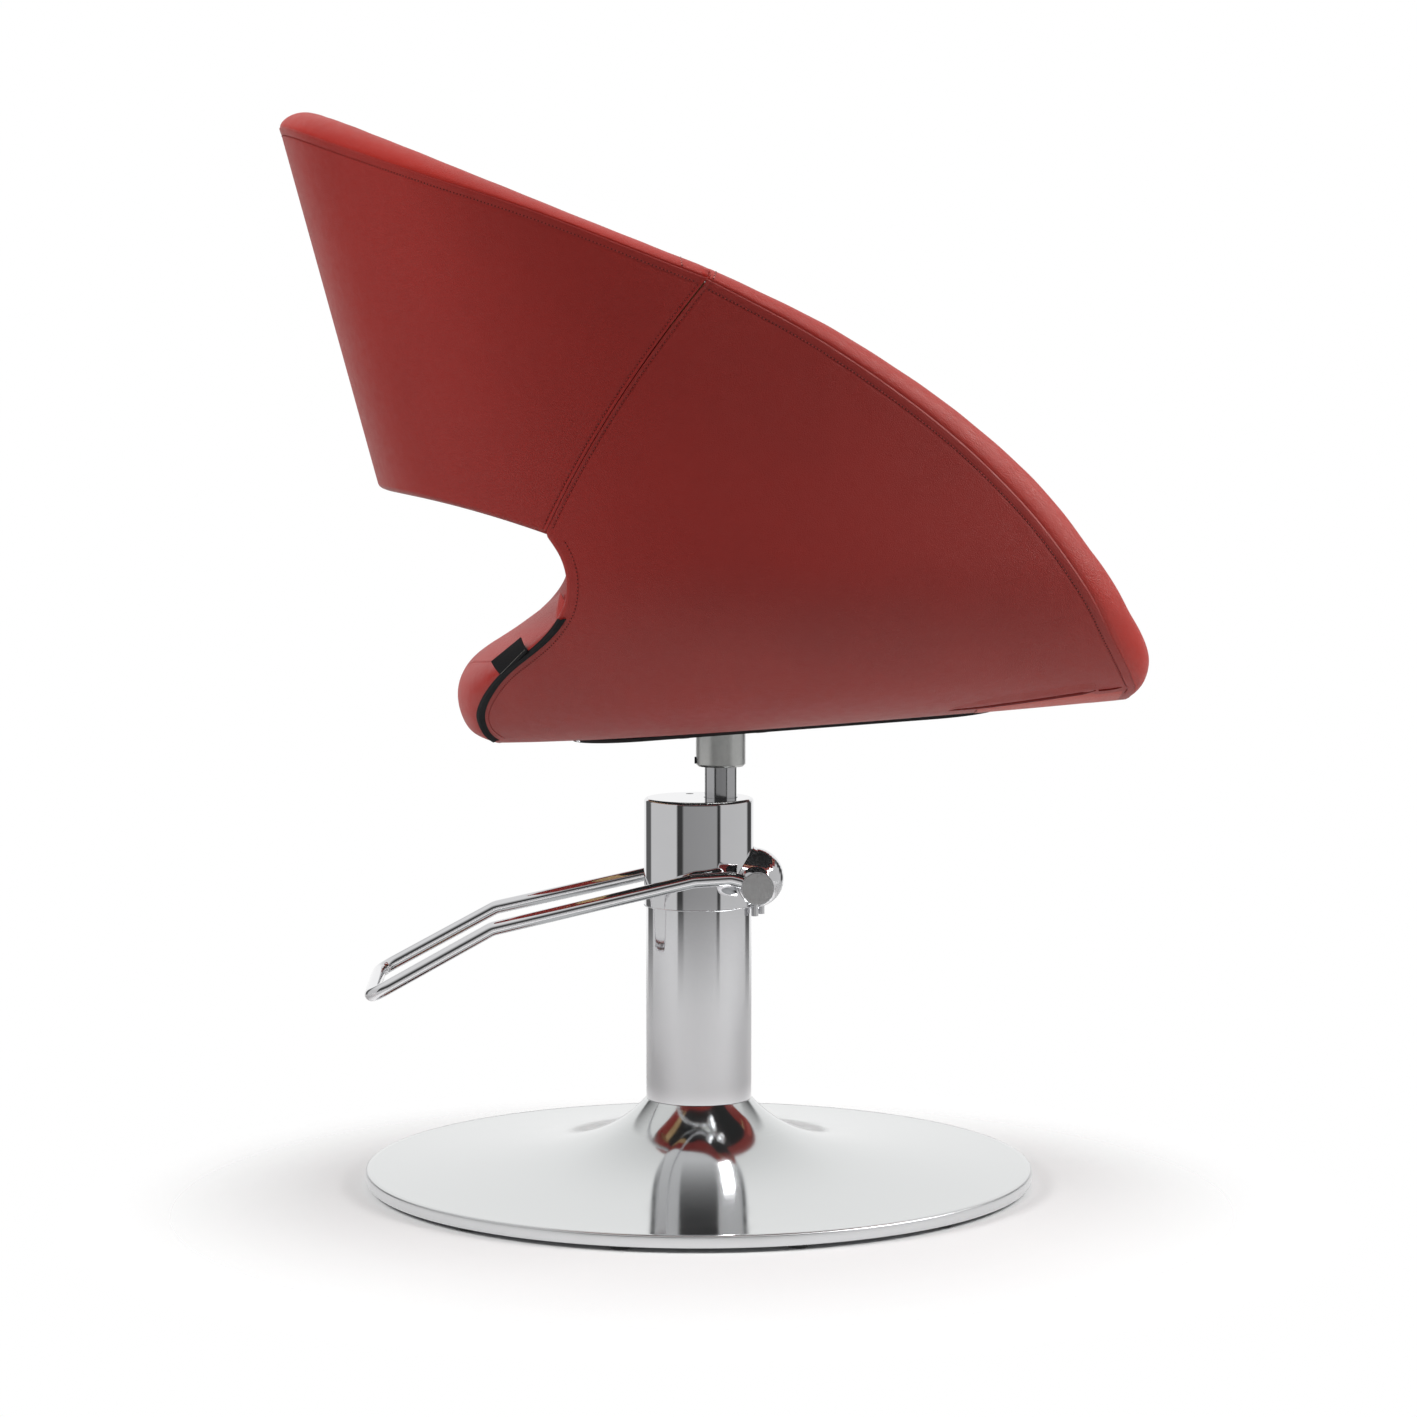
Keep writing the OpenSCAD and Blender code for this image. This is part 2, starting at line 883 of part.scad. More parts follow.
// lower edge and upper edge of the back, and the wrap angle of its side seam
function seam_phi(b) =
  wrap_phi((seam_x(b) - seam_gap * (1 + b * b) - rear_x(seam_z(b))) / wrap_depth);
function back_low_z(a) = 608.6 - 31.6 * pow(a, 3.1);
function back_grid(a, b, t) =
  let (
    g = abs(a),
    z = mix(back_low_z(g), back_seam_z(90 * g) - panel_drop * 1.3, b)
  )
  back_pt(sign(a) * max(0.001, g * min(89.6, seam_phi(b))), z, t);

module layer(outer, inner, cols, rows) {
  w = cols + 1;
  n = w * (rows + 1);
  polyhedron(
    points = concat(outer, inner),
    faces = concat(
      [for (r = [0 : rows - 1], c = [0 : cols - 1])
        each [[r * w + c, r * w + w + c, r * w + w + c + 1],
          [r * w + c, r * w + w + c + 1, r * w + c + 1]]],
      [for (r = [0 : rows - 1], c = [0 : cols - 1])
        each [[n + r * w + c, n + r * w + w + c + 1, n + r * w + w + c],
          [n + r * w + c, n + r * w + c + 1, n + r * w + w + c + 1]]],
      [for (c = [0 : cols - 1]) [c, c + 1, n + c + 1, n + c]],
      [for (c = [0 : cols - 1])
        [rows * w + c + 1, rows * w + c, n + rows * w + c, n + rows * w + c + 1]],
      [for (r = [0 : rows - 1]) [r * w, n + r * w, n + r * w + w, r * w + w]],
      [for (r = [0 : rows - 1])
        [r * w + w + cols, n + r * w + w + cols, n + r * w + cols, r * w + cols]]),
    convexity = 8);
}

module side_layer(t0, t1) {
  layer(
    [for (r = [0 : side_rows], c = [0 : side_cols])
      side_grid(c / side_cols, r / side_rows, t0)],
    [for (r = [0 : side_rows], c = [0 : side_cols])
      side_grid(c / side_cols, r / side_rows, t1)],
    side_cols, side_rows);
}

module back_layer(t0, t1) {
  layer(
    [for (r = [0 : back_rows], c = [-back_cols : back_cols])
      back_grid(c / back_cols, r / back_rows, t0)],
    [for (r = [0 : back_rows], c = [-back_cols : back_cols])
      back_grid(c / back_cols, r / back_rows, t1)],
    2 * back_cols, back_rows);
}

module back_panel() {
  color("firebrick")
    back_layer(0, skin_t);
}

module back_core() {
  color("burlywood")
    back_layer(core_in, core_out);
}

module back_liner() {
  color("firebrick")
    back_layer(liner_in, shell_t);
}

module right_panel() {
  color("firebrick")
    side_layer(0, skin_t);
}

module right_core() {
  color("burlywood")
    side_layer(core_in, core_out);
}

module right_liner() {
  color("firebrick")
    side_layer(liner_in, shell_t);
}

module left_panel() {
  mirror([0, 1, 0])
    right_panel();
}

module left_core() {
  mirror([0, 1, 0])
    right_core();
}

module left_liner() {
  mirror([0, 1, 0])
    right_liner();
}

// ---------- seat cushion ----------

// rear roll: profile at the middle, paired with the rear edge of the sides
roll_mid = [
  [-172, under(-172) - 2], [-198, 401], [-207.5, 429], [-197, 454], [-160, 477], [-122, 500]
];
roll_core = [
  [-140, under(-140) + 1], [-148, 408], [-151, 428], [-147, 448], [-133, 468], [-113, 491]
];
roll_top = 0.35;
roll_cols = 10;
roll_rows = 7;
function roll_grid(a, b, t) =
  let (
    g = abs(a),
    e0 = side_rear(roll_top * b),
    xe = e0[0] - (t > 0 ? 6.5 : 1.2),
    e = side_pt(xe, b > 0 ? max(e0[1], under(xe)) : under(xe), t),
    m = t > 0 ? spline(roll_core, b) : spline(roll_mid, b),
    f = wrap_x(85 * g) / wrap_x(85),
    y = wrap_y(wrap_x(85 * g)) / wrap_y(wrap_x(85)) * (t > 0 ? 0.95 : 1)
  )
  [mix(m[0], e[0], f), sign(a) * e[1] * y, mix(m[1], e[2], f)];

module seat_roll() {
  color("firebrick")
    layer(
      [for (r = [0 : roll_rows], c = [-roll_cols : roll_cols])
        roll_grid(c / roll_cols, r / roll_rows, 0)],
      [for (r = [0 : roll_rows], c = [-roll_cols : roll_cols])
        roll_grid(c / roll_cols, r / roll_rows, shell_t)],
      2 * roll_cols, roll_rows);
}

// cushion: closed outlines stacked from the pan to the crown, height above the underside
pad_levels = [
  [17.8, -136, 326, 0.9], [22, -143, 335, 0.97], [38, -145, 342, 1],
  [54, -142, 341, 1], [70, -131, 335, 1], [86, -117, 327, 1],
  [98, -105, 315, 0.985], [pad_top - 5, -90, 299, 0.96], [pad_top, -64, 266, 0.88],
  [pad_top + 0.5 * pad_crown, -20, 215, 0.66], [pad_top + pad_crown, 50, 150, 0.3]
];
pad_n_pts = 44;
function pad_side(x, d, wf) =
  let (
    k = min(1, max(0, (turn_z - under(x) - d) / (turn_z - under(x) - shell_t - 4))),
    w = half_at(k, shell_t + 4) - (k >= 1 ? 6 : 0),
    s = (x - rear_x(under(x) + d) - shell_t - 4) / (wrap_depth - shell_t - 4)
  )
  max(20, w * wrap_y(s) * toe(x) * wf - 2);
function pad_pt(lv, i) =
  let (
    a = 360 * (i + 0.5) / pad_n_pts,
    x0 = lv[1],
    x1 = lv[2],
    xc = (x0 + x1) / 2,
    px = xc - (x1 - x0) / 2 * sign(cos(a)) * pow(abs(cos(a)), 0.4),
    py = pow(abs(sin(a)), 0.4) * sign(sin(a)) * pad_side(px, lv[0], lv[3])
  )
  [px, py, under(px) + lv[0]];

module seat_pad() {
  n = pad_n_pts;
  m = len(pad_levels);
  color("firebrick")
    polyhedron(
      points = [for (lv = pad_levels, i = [0 : n - 1]) pad_pt(lv, i)],
      faces = concat(
        [for (l = [0 : m - 2], i = [0 : n - 1])
          [l * n + i, l * n + (i + 1) % n, l * n + n + (i + 1) % n, l * n + n + i]],
        [[for (i = [0 : n - 1]) n - 1 - i]],
        [[for (i = [0 : n - 1]) (m - 1) * n + i]]),
      convexity = 8);
}

// ---------- trim ----------

tape_n = 18;
function tape_pt(i, j) =
  let (
    b = roll_top * (0.03 + 0.95 * i / tape_n),
    e = side_rear(b),
    w = j == 0 || j == 3 ? -3 : 2.2,
    t = j < 2 ? -0.6 : -1.7
  )
  side_pt(e[0] + w, max(e[1], under(e[0])), t);

module tape_half() {
  polyhedron(
    points = [for (i = [0 : tape_n], j = [0 : 3]) tape_pt(i, j)],
    faces = concat(
      [for (i = [0 : tape_n - 1], j = [0 : 3])
        [i * 4 + j, i * 4 + (j + 1) % 4, i * 4 + 4 + (j + 1) % 4, i * 4 + 4 + j]],
      [[3, 2, 1, 0]],
      [[for (j = [0 : 3]) tape_n * 4 + j]]),
    convexity = 6);
}

module zip_tape() {
  color("#111111") {
    tape_half();
    mirror([0, 1, 0])
      tape_half();
  }
}

// corners of the sewn tag, x and outer height
tag_corners = [[-176, 467], [-158, 484.5], [-145.5, 476], [-165, 455]];
module side_tag() {
  color("#111111")
    polyhedron(
      points = concat(
        [for (p = tag_corners) side_pt(p[0], p[1], -2.7)],
        [for (p = tag_corners) side_pt(p[0], p[1], -3.8)]),
      faces = [[2, 1, 0], [3, 2, 0], [4, 5, 6], [4, 6, 7],
        [1, 5, 4, 0], [2, 6, 5, 1], [3, 7, 6, 2], [0, 4, 7, 3]]);
}

base_cover();
ballast_plate();
foot_pads();
pump_foot();
flange_bolts();
lower_tube();
upper_sleeve();
filler_screw();
tank_tube();
ram_cylinder();
cylinder_head();
guide_bush();
wiper_ring();
ball_housing();
pump_block();
shaft_bushes();
valve_screws();
piston_head();
piston_seal();
ram_rod();
retaining_ring();
socket();
socket_screw();
mounting_plate();
plate_bolts();
plate_washers();
seat_pan();
bottom_cover();
back_core();
left_core();
right_core();
back_panel();
left_panel();
right_panel();
back_liner();
left_liner();
right_liner();
rim_band();
seat_roll();
seat_pad();
zip_tape();
side_tag();
pedal_shaft();
hub_barrels();
hub_caps();
pedal_rods();
rocker();
plunger();
plunger_spring();
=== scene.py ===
"""The looks of the hydraulic styling chair: leather, seams, chrome and studio.

Lengths are in millimetres, in the frame of the CAD part, and become metres when a piece is made.
"""

from math import acos, cos, exp, pi, radians, sin, tan

import bmesh
import bpy
import numpy as np
from mathutils import Matrix, Vector


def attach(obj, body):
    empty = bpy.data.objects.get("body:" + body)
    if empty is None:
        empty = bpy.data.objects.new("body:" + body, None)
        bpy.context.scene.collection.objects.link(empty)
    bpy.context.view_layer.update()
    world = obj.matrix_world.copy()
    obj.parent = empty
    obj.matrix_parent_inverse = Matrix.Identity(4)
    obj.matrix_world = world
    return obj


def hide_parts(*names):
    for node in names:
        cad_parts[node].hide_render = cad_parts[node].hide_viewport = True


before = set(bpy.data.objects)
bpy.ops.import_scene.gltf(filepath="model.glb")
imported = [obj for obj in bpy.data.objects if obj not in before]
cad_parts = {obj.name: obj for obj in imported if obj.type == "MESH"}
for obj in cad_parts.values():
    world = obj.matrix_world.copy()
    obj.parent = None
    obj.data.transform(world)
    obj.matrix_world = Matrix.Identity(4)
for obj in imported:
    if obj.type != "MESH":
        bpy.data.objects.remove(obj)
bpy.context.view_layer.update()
scene = bpy.context.scene
scene.view_settings.view_transform = "Standard"
MM = 0.001
QUARTER = pi / 2


# ---------- camera, fitted to the photograph ----------

PHOTO_WIDTH = 1417
FOCAL_PIXELS = 3800
SENSOR_WIDTH = 36

camera = bpy.data.objects.new("camera", bpy.data.cameras.new("camera"))
camera.data.lens = SENSOR_WIDTH * FOCAL_PIXELS / PHOTO_WIDTH
camera.data.sensor_width = SENSOR_WIDTH
camera.data.clip_end = 60
camera.location = (-0.1003, -3.2771, 0.6842)
camera.rotation_euler = (radians(85.27), 0, radians(-1.9))
scene.collection.objects.link(camera)
scene.camera = camera


# ---------- shader nodes ----------

def srgb(*levels):
    """A colour written as levels from 0 to 255."""
    shares = [c / 255 for c in levels]
    return tuple(c / 12.92 if c <= 0.04045 else ((c + 0.055) / 1.055) ** 2.4 for c in shares) + (1,)


def grey(value):
    return (value, value, value, 1)


def scaled(colour, factor):
    return tuple(min(1, c * factor) for c in colour[:3]) + (1,)


class Graph:
    """A small builder for the node tree of a material or a world."""

    def __init__(self, owner, output):
        owner.use_nodes = True
        self.tree = owner.node_tree
        self.tree.nodes.clear()
        self.out = self.add(output)

    def add(self, kind, **settings):
        """A new shader node, with its properties and its inputs set by name."""
        node = self.tree.nodes.new("ShaderNode" + kind)
        for key, value in settings.items():
            if hasattr(node, key):
                setattr(node, key, value)
            else:
                node.inputs[key.replace("_", " ")].default_value = value
        return node

    def link(self, a, b):
        self.tree.links.new(a, b)

    def put(self, value, socket):
        """A constant, or the output of another node, on an input."""
        if isinstance(value, bpy.types.NodeSocket):
            self.link(value, socket)
        else:
            socket.default_value = value

    def math(self, operation, *values):
        node = self.add("Math", operation=operation)
        for value, socket in zip(values, node.inputs):
            self.put(value, socket)
        return node.outputs[0]

    def mix(self, factor, a, b):
        node = self.add("Mix", data_type="RGBA")
        for value, name in ((factor, "Factor"), (a, "A"), (b, "B")):
            self.put(value, node.inputs[name])
        return node.outputs["Result"]

    def parts(self, vector):
        node = self.add("SeparateXYZ")
        self.link(vector, node.inputs[0])
        return node.outputs

    def length(self, vector):
        node = self.add("VectorMath", operation="LENGTH")
        self.link(vector, node.inputs[0])
        return node.outputs["Value"]

    def grade(self, value, start, end, first=0.0, last=1.0, kind="LINEAR"):
        """A number that runs from first to last while the value runs from start to end."""
        node = self.add("MapRange", interpolation_type=kind,
                        From_Min=start, From_Max=end, To_Min=first, To_Max=last)
        self.link(value, node.inputs["Value"])
        return node.outputs["Result"]

    def ramp(self, value, stops):
        """A colour ramp, whose stops are a place and a colour or a grey."""
        node = self.add("ValToRGB")
        band = node.color_ramp
        while len(band.elements) < len(stops):
            band.elements.new(0.5)
        for element, (place, colour) in zip(band.elements, stops):
            element.position = place
            element.color = colour if isinstance(colour, tuple) else grey(colour)
        self.link(value, node.inputs["Fac"])
        return node.outputs["Color"]


class Material(Graph):
    """A principled material with textures in object coordinates."""

    def __init__(self, name, **settings):
        self.mat = bpy.data.materials.new(name)
        super().__init__(self.mat, "OutputMaterial")
        self.shader = self.add("BsdfPrincipled", **settings)
        self.link(self.shader.outputs[0], self.out.inputs["Surface"])
        self.coord = self.add("TexCoord").outputs["Object"]

    def feed(self, name, value, *stops):
        """A ramp of a value, on an input of the shader."""
        self.link(self.ramp(value, stops), self.shader.inputs[name])

    def noise(self, scale, detail=3, rough=0.5, stretch=None):
        node = self.add("TexNoise", Scale=scale, Detail=detail, Roughness=rough)
        place = self.coord
        if stretch:
            mapping = self.add("Mapping", Scale=stretch)
            self.link(self.coord, mapping.inputs["Vector"])
            place = mapping.outputs["Vector"]
        self.link(place, node.inputs["Vector"])
        return node.outputs["Fac"]

    def cells(self, scale):
        node = self.add("TexVoronoi", feature="DISTANCE_TO_EDGE", Scale=scale)
        self.link(self.coord, node.inputs["Vector"])
        return node.outputs["Distance"]

    def bump(self, height, strength, distance):
        """A bump laid over those that the shader already has."""
        node = self.add("Bump", Strength=strength, Distance=distance)
        self.link(height, node.inputs["Height"])
        normal = self.shader.inputs["Normal"]
        if normal.is_linked:
            self.link(normal.links[0].from_socket, node.inputs["Normal"])
        self.link(node.outputs[0], normal)


# ---------- materials ----------

def leather(name, dark, light, grain=1.0):
    m = Material(name, Specular_IOR_Level=0.6, Specular_Tint=(1.0, 0.9, 0.84, 1),
                 Sheen_Weight=0.05, Sheen_Roughness=0.4, Sheen_Tint=(1.0, 0.6, 0.5, 1))
    m.feed("Base Color", m.noise(7, 4, 0.55), (0.3, dark), (0.72, light))
    pits = m.ramp(m.cells(720), [(0.0, 0.0), (0.16, 0.85), (0.4, 1.0)])
    m.bump(pits, 0.34 * grain, 0.0005)
    m.bump(m.noise(1500, 2, 0.6), 0.20 * grain, 0.0004)
    m.bump(m.noise(42), 0.16, 0.003)
    m.feed("Roughness", m.noise(130, 3, 0.6), (0.25, 0.44), (0.75, 0.54))
    return m.mat


def metal(name, colour, low, high, bump=0.0, scale=60, stretch=None, tint=0.05):
    """Plated or machined metal, its roughness between low and high."""
    m = Material(name, Metallic=1.0)
    wear = m.noise(scale, 5, 0.6, stretch)
    m.feed("Base Color", wear, (0.3, scaled(colour, 1 - tint)), (0.7, scaled(colour, 1 + tint)))
    m.feed("Roughness", wear, (0.3, low), (0.75, high))
    if bump:
        m.bump(wear, bump, 0.0002)
    return m.mat


def spun(name, colour, low, high, bump):
    """Metal turned about the Z axis, with fine rings."""
    m = Material(name, Metallic=1.0)
    x, y, _ = m.parts(m.coord)
    flat = m.add("CombineXYZ")
    m.link(x, flat.inputs[0])
    m.link(y, flat.inputs[1])
    rings = m.add("TexNoise", noise_dimensions="1D", Scale=900, Detail=4)
    m.link(m.length(flat.outputs[0]), rings.inputs["W"])
    m.feed("Roughness", m.noise(26, 4, 0.6), (0.3, low), (0.75, high))
    m.feed("Base Color", rings.outputs["Fac"], (0.3, colour), (0.7, scaled(colour, 1.03)))
    m.bump(rings.outputs["Fac"], bump, 0.0001)
    return m.mat


def plain(name, dark, light, rough, scale=300, bump=0.2, **settings):
    """A grained material: rubber, board, wood, thread or cast metal."""
    m = Material(name, **settings)
    grain = m.noise(scale, 4, 0.6)
    m.feed("Base Color", grain, (0.3, dark), (0.7, light))
    m.feed("Roughness", grain, (0.3, rough - 0.06), (0.7, min(1, rough + 0.08)))
    m.bump(grain, bump, 0.0004)
    return m.mat


def woven(name, dark, light, pitch):
    m = Material(name, Roughness=0.85, Specular_IOR_Level=0.25)
    threads = []
    for way in ("X", "Z"):
        wave = m.add("TexWave", bands_direction=way, Scale=0.5 / pitch, Distortion=0.6)
        m.link(m.coord, wave.inputs["Vector"])
        threads.append(wave.outputs["Fac"])
    both = m.math("MULTIPLY", *threads)
    m.feed("Base Color", both, (0.0, dark), (0.8, light))
    m.bump(both, 0.6, 0.0003)
    return m.mat


MAT = {
    "leather": leather("leather_red", srgb(128, 18, 13), srgb(137, 22, 16)),
    # the band's leather is a lighter copy of the panels' leather: painted light, for the light that falls on
    # the rim's top
    "band": leather("leather_red_band_lit", srgb(150, 22, 12), srgb(162, 27, 15), 1.25),
    "seat": leather("leather_red_seat", srgb(140, 20, 15), srgb(150, 24, 18), 1.1),
    # a lighter copy of the leather: painted sheen, the white floor's reflection on the skin turned under the
    # front
    "turned": leather("leather_red_turned_sheen", srgb(156, 52, 44), srgb(172, 66, 56)),
    # dark leather: painted shade in the crease under the front fold
    "crease_shade": plain("leather_red_pleat_shade", srgb(84, 16, 13), srgb(98, 20, 16), 0.9, 700, 0.3,
                   Specular_IOR_Level=0.15),
    "thread": plain("thread_red", srgb(146, 30, 24), srgb(170, 42, 34), 0.55, 2500, 0.5),
    "light": plain("thread_light", srgb(196, 120, 110), srgb(214, 142, 132), 0.55, 2500, 0.5),
    "pale": plain("thread_grey", srgb(120, 116, 112), srgb(160, 156, 150), 0.6, 2500, 0.5),
    # flat dark discs: painted shade in the needle holes
    "hole": plain("needle_hole_shade", srgb(62, 13, 11), srgb(78, 17, 14), 0.85, 1200, 0.3),
    "tape": woven("black_tape", srgb(14, 14, 15), srgb(44, 44, 46), 0.0008),
    "label": woven("black_label", srgb(12, 12, 13), srgb(34, 34, 36), 0.0005),
    "chrome": metal("chrome", srgb(226, 226, 228), 0.025, 0.06, tint=0.01),
    "disc": spun("base_polish", srgb(210, 212, 212), 0.07, 0.13, 0.03),
    "satin": spun("base_rim_satin", srgb(196, 197, 198), 0.30, 0.38, 0.1),
    "zinc": metal("zinc_steel", srgb(200, 201, 199), 0.30, 0.42, 0.08, 220, tint=0.06),
    "ram": metal("ground_steel", srgb(186, 186, 188), 0.10, 0.16, 0.05, 300, (1, 1, 0.05)),
    "cap": metal("satin_cap", srgb(194, 194, 194), 0.34, 0.42, 0.05, 260, (1, 0.1, 1)),
    "steel": metal("machined_steel", srgb(140, 141, 143), 0.28, 0.4, 0.08, 160),
    "bronze": metal("bronze", srgb(188, 150, 90), 0.25, 0.35, 0.05, 120),
    "iron": plain("cast_iron", srgb(58, 59, 62), srgb(78, 79, 82), 0.6, 240, 0.5, Metallic=0.6),
    "black": plain("black_oxide", srgb(22, 22, 23), srgb(34, 34, 36), 0.4, 500, 0.2, Metallic=0.5),
    "rubber": plain("black_rubber", srgb(18, 18, 18), srgb(32, 32, 32), 0.7, 700, 0.4),
    "board": plain("black_board", srgb(16, 16, 17), srgb(30, 30, 31), 0.75, 900, 0.4),
    "wood": plain("plywood", srgb(176, 142, 96), srgb(204, 172, 124), 0.6, 40),
}
CAD_NODES = {
    "disc": "base_cover",
    "chrome": "lower_tube upper_sleeve ball_housing valve_screws pedal_shaft hub_barrels pedal_rods",
    "cap": "hub_caps",
    "ram": "ram_rod",
    "zinc": "flange_bolts filler_screw socket mounting_plate plate_bolts plate_washers",
    "steel": "tank_tube ram_cylinder cylinder_head pump_block piston_head rocker plunger plunger_spring",
    "bronze": "guide_bush shaft_bushes",
    "iron": "ballast_plate pump_foot",
    "black": "retaining_ring socket_screw",
    "rubber": "foot_pads wiper_ring piston_seal",
    "board": "bottom_cover",
    "wood": "seat_pan back_core left_core right_core",
    "leather": "back_panel left_panel right_panel back_liner left_liner right_liner",
    "band": "rim_band",
    "seat": "seat_roll seat_pad",
    "tape": "zip_tape",
    "label": "side_tag",
}


def dress(obj, mat):
    if not obj.material_slots:
        obj.data.materials.append(mat)
    for slot in obj.material_slots:
        slot.material = mat


for key, names in CAD_NODES.items():
    for name in names.split():
        dress(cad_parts[name], MAT[key])


# ---------- paths ----------

def unit(v):
    """Vectors of length 1; those without a length stay zero."""
    return v / np.maximum(1e-6, np.linalg.norm(v, axis=-1, keepdims=True))


def mix(a, b, f):
    return a + (b - a) * f


def distances(path):
    """Distance of each point of a polyline from its start."""
    return np.concatenate([[0], np.cumsum(np.linalg.norm(np.diff(path, axis=0), axis=1))])


def along(path, values, places):
    """Values given at a path's points, read at distances along it."""
    lengths = distances(path)
    return np.stack([np.interp(places, lengths, column) for column in np.transpose(values)], 1)


def evenly(path, count):
    return along(path, path, np.linspace(0, distances(path)[-1], count))


def smooth_path(path, radius, step=2.0):
    """A polyline with its corners rounded, cut into short steps."""
    out = [path[0]]
    for a, b, c in zip(path, path[1:], path[2:]):
        u, v = a - b, c - b
        lu, lv = np.linalg.norm(u), np.linalg.norm(v)
        u, v = u / lu, v / lv
        half = acos(max(-1, min(1, u.dot(v)))) / 2
        reach = min(radius / tan(half), 0.48 * lu, 0.48 * lv)
        for f in np.linspace(0, 1, 13):
            out.append((1 - f) ** 2 * (b + u * reach) + 2 * f * (1 - f) * b + f * f * (b + v * reach))
    path = np.array(out + [path[-1]])
    return evenly(path, int(round(distances(path)[-1] / step)) + 1)


def spline(p, u):
    """A smooth line through points spaced evenly in u."""
    p = np.asarray(p, float)
    n = len(p) - 1
    u = np.clip(np.asarray(u, float), 0, 1)
    i = np.minimum(n - 1, np.floor(u * n).astype(int))
    f = (u * n - i)[..., None]
    a, b, c, d = p[np.maximum(0, i - 1)], p[i], p[i + 1], p[np.minimum(n, i + 2)]
    square, cube = 2 * a - 5 * b + 4 * c - d, 3 * b - a - 3 * c + d
    return 0.5 * (2 * b + (c - a) * f + square * f ** 2 + cube * f ** 3)


def gap_to(points, line):
    """Distance of each point of a grid from a polyline."""
    a, d = line[:-1], np.diff(line, axis=0)
    out = np.empty(points.shape[:-1])
    for k, row in enumerate(points):
        p = row[:, None]
        f = np.clip(((p - a) * d).sum(-1) / (d * d).sum(-1), 0, 1)[..., None]
        out[k] = np.linalg.norm(p - a - f * d, axis=-1).min(1)
    return out


def circle(count):
    """Angles once round."""
    return np.linspace(0, 2 * pi, count, endpoint=False)


def mirrored(grid):
    return grid * np.array([1, -1, 1])


# ---------- pieces ----------

def grid_faces(rows, cols, wrap_rows=False, wrap_cols=False):
    i, j = np.meshgrid(np.arange(rows if wrap_rows else rows - 1),
                       np.arange(cols if wrap_cols else cols - 1), indexing="ij")
    i2, j2 = (i + 1) % rows, (j + 1) % cols
    return np.stack([i * cols + j, i * cols + j2, i2 * cols + j2, i2 * cols + j], -1).reshape(-1, 4)


def piece(name, points, faces, mat, body="seat", slot="red_leather", nodes=()):
    """A smooth-shaded mesh that rides on a body, in place of the CAD nodes named."""
    mesh = bpy.data.meshes.new(name)
    metres = np.asarray(points, float).reshape(-1, 3) * MM
    mesh.from_pydata(metres.tolist(), [], [list(map(int, f)) for f in faces])
    bm = bmesh.new()
    bm.from_mesh(mesh)
    bmesh.ops.remove_doubles(bm, verts=bm.verts, dist=1e-6)
    bmesh.ops.dissolve_degenerate(bm, edges=bm.edges, dist=1e-7)
    bmesh.ops.recalc_face_normals(bm, faces=bm.faces)
    bm.to_mesh(mesh)
    bm.free()
    mesh.shade_smooth()
    obj = bpy.data.objects.new(name, mesh)
    obj.data.materials.append(MAT[mat])
    scene.collection.objects.link(obj)
    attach(obj, body)
    if nodes:
        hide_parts(*nodes)
    return obj


def surface(name, grid, mat, wrap_rows=False, wrap_cols=False, **more):
    """A piece made of a grid of points."""
    rows, cols = grid.shape[:2]
    return piece(name, grid, grid_faces(rows, cols, wrap_rows, wrap_cols), mat, **more)


def pair(name, grid, mat, nodes=(), **more):
    """A surface of the seat's right side and its mirror image; {} in a node's name is the side."""
    for side, half in (("right", grid), ("left", mirrored(grid))):
        surface(side + "_" + name, half, mat, nodes=[n.format(side) for n in nodes], **more)


def lathe(name, profile, steps, mat, **more):
    """A profile of radii and heights, turned about Z."""
    angle = circle(steps)
    radii, heights = np.transpose(profile)
    grid = np.stack([np.outer(radii, np.cos(angle)), np.outer(radii, np.sin(angle)),
                     np.repeat(heights[:, None], steps, 1)], -1)
    return surface(name, grid, mat, wrap_cols=True, **more)


def sweep(name, path, radius, sides, closed=False, **more):
    """A chromed round bar along a path."""
    ahead = np.roll(path, -1, 0) - np.roll(path, 1, 0)
    if not closed:
        ahead[0], ahead[-1] = path[1] - path[0], path[-1] - path[-2]
    ahead = unit(ahead)
    side = np.cross(ahead[0], (0.0, 0.0, 1.0))
    turn = circle(sides)
    rings = []
    for p, d in zip(path, ahead):
        side = unit(side - d * side.dot(d))
        rings.append(p + radius * (np.outer(np.cos(turn), side) + np.outer(np.sin(turn), np.cross(d, side))))
    surface(name, np.array(rings), "chrome", wrap_rows=closed, wrap_cols=True, slot="chrome", **more)


# ---------- stitches ----------

STITCH_PITCH, STITCH_LIFT, HOLE_LIFT = 3.1, 0.1, 0.04
THREAD_D, THREAD_L, THREAD_FLAT, HOLE_FLAT = 0.55, 0.62 * STITCH_PITCH, 0.8, 0.35
# share of a bead's length, and of its width there
BEAD = ((-0.5, 0.3), (-0.36, 0.86), (0, 1.0), (0.36, 0.86), (0.5, 0.3))
BEAD_SIDES = 6


def beads(path, normals, pitch, offset, length, width, lift, flat):
    """Rounded bodies along a path, flat times as high as wide: points and faces of one mesh."""
    at = np.arange(offset, distances(path)[-1] - pitch / 2, pitch)
    here = along(path, path, at)
    ahead = unit(along(path, path, at + 0.8) - along(path, path, at - 0.8))
    out = along(path, normals, at)
    out = unit(out - ahead * (out * ahead).sum(1)[:, None])
    side = np.cross(ahead, out)
    turn = circle(BEAD_SIDES)
    rows = []
    for share, wide in BEAD:
        centre = here + ahead * share * length + out * lift
        reach = width / 2 * wide
        rows.append([centre + reach * (cos(t) * side + flat * sin(t) * out) for t in turn])
    points = np.array(rows).transpose(2, 0, 1, 3).reshape(-1, 3)
    faces = grid_faces(len(BEAD), BEAD_SIDES, wrap_cols=True)
    firsts = len(BEAD) * BEAD_SIDES * np.arange(len(at))[:, None, None]
    return points, (faces[None] + firsts).reshape(-1, 4)


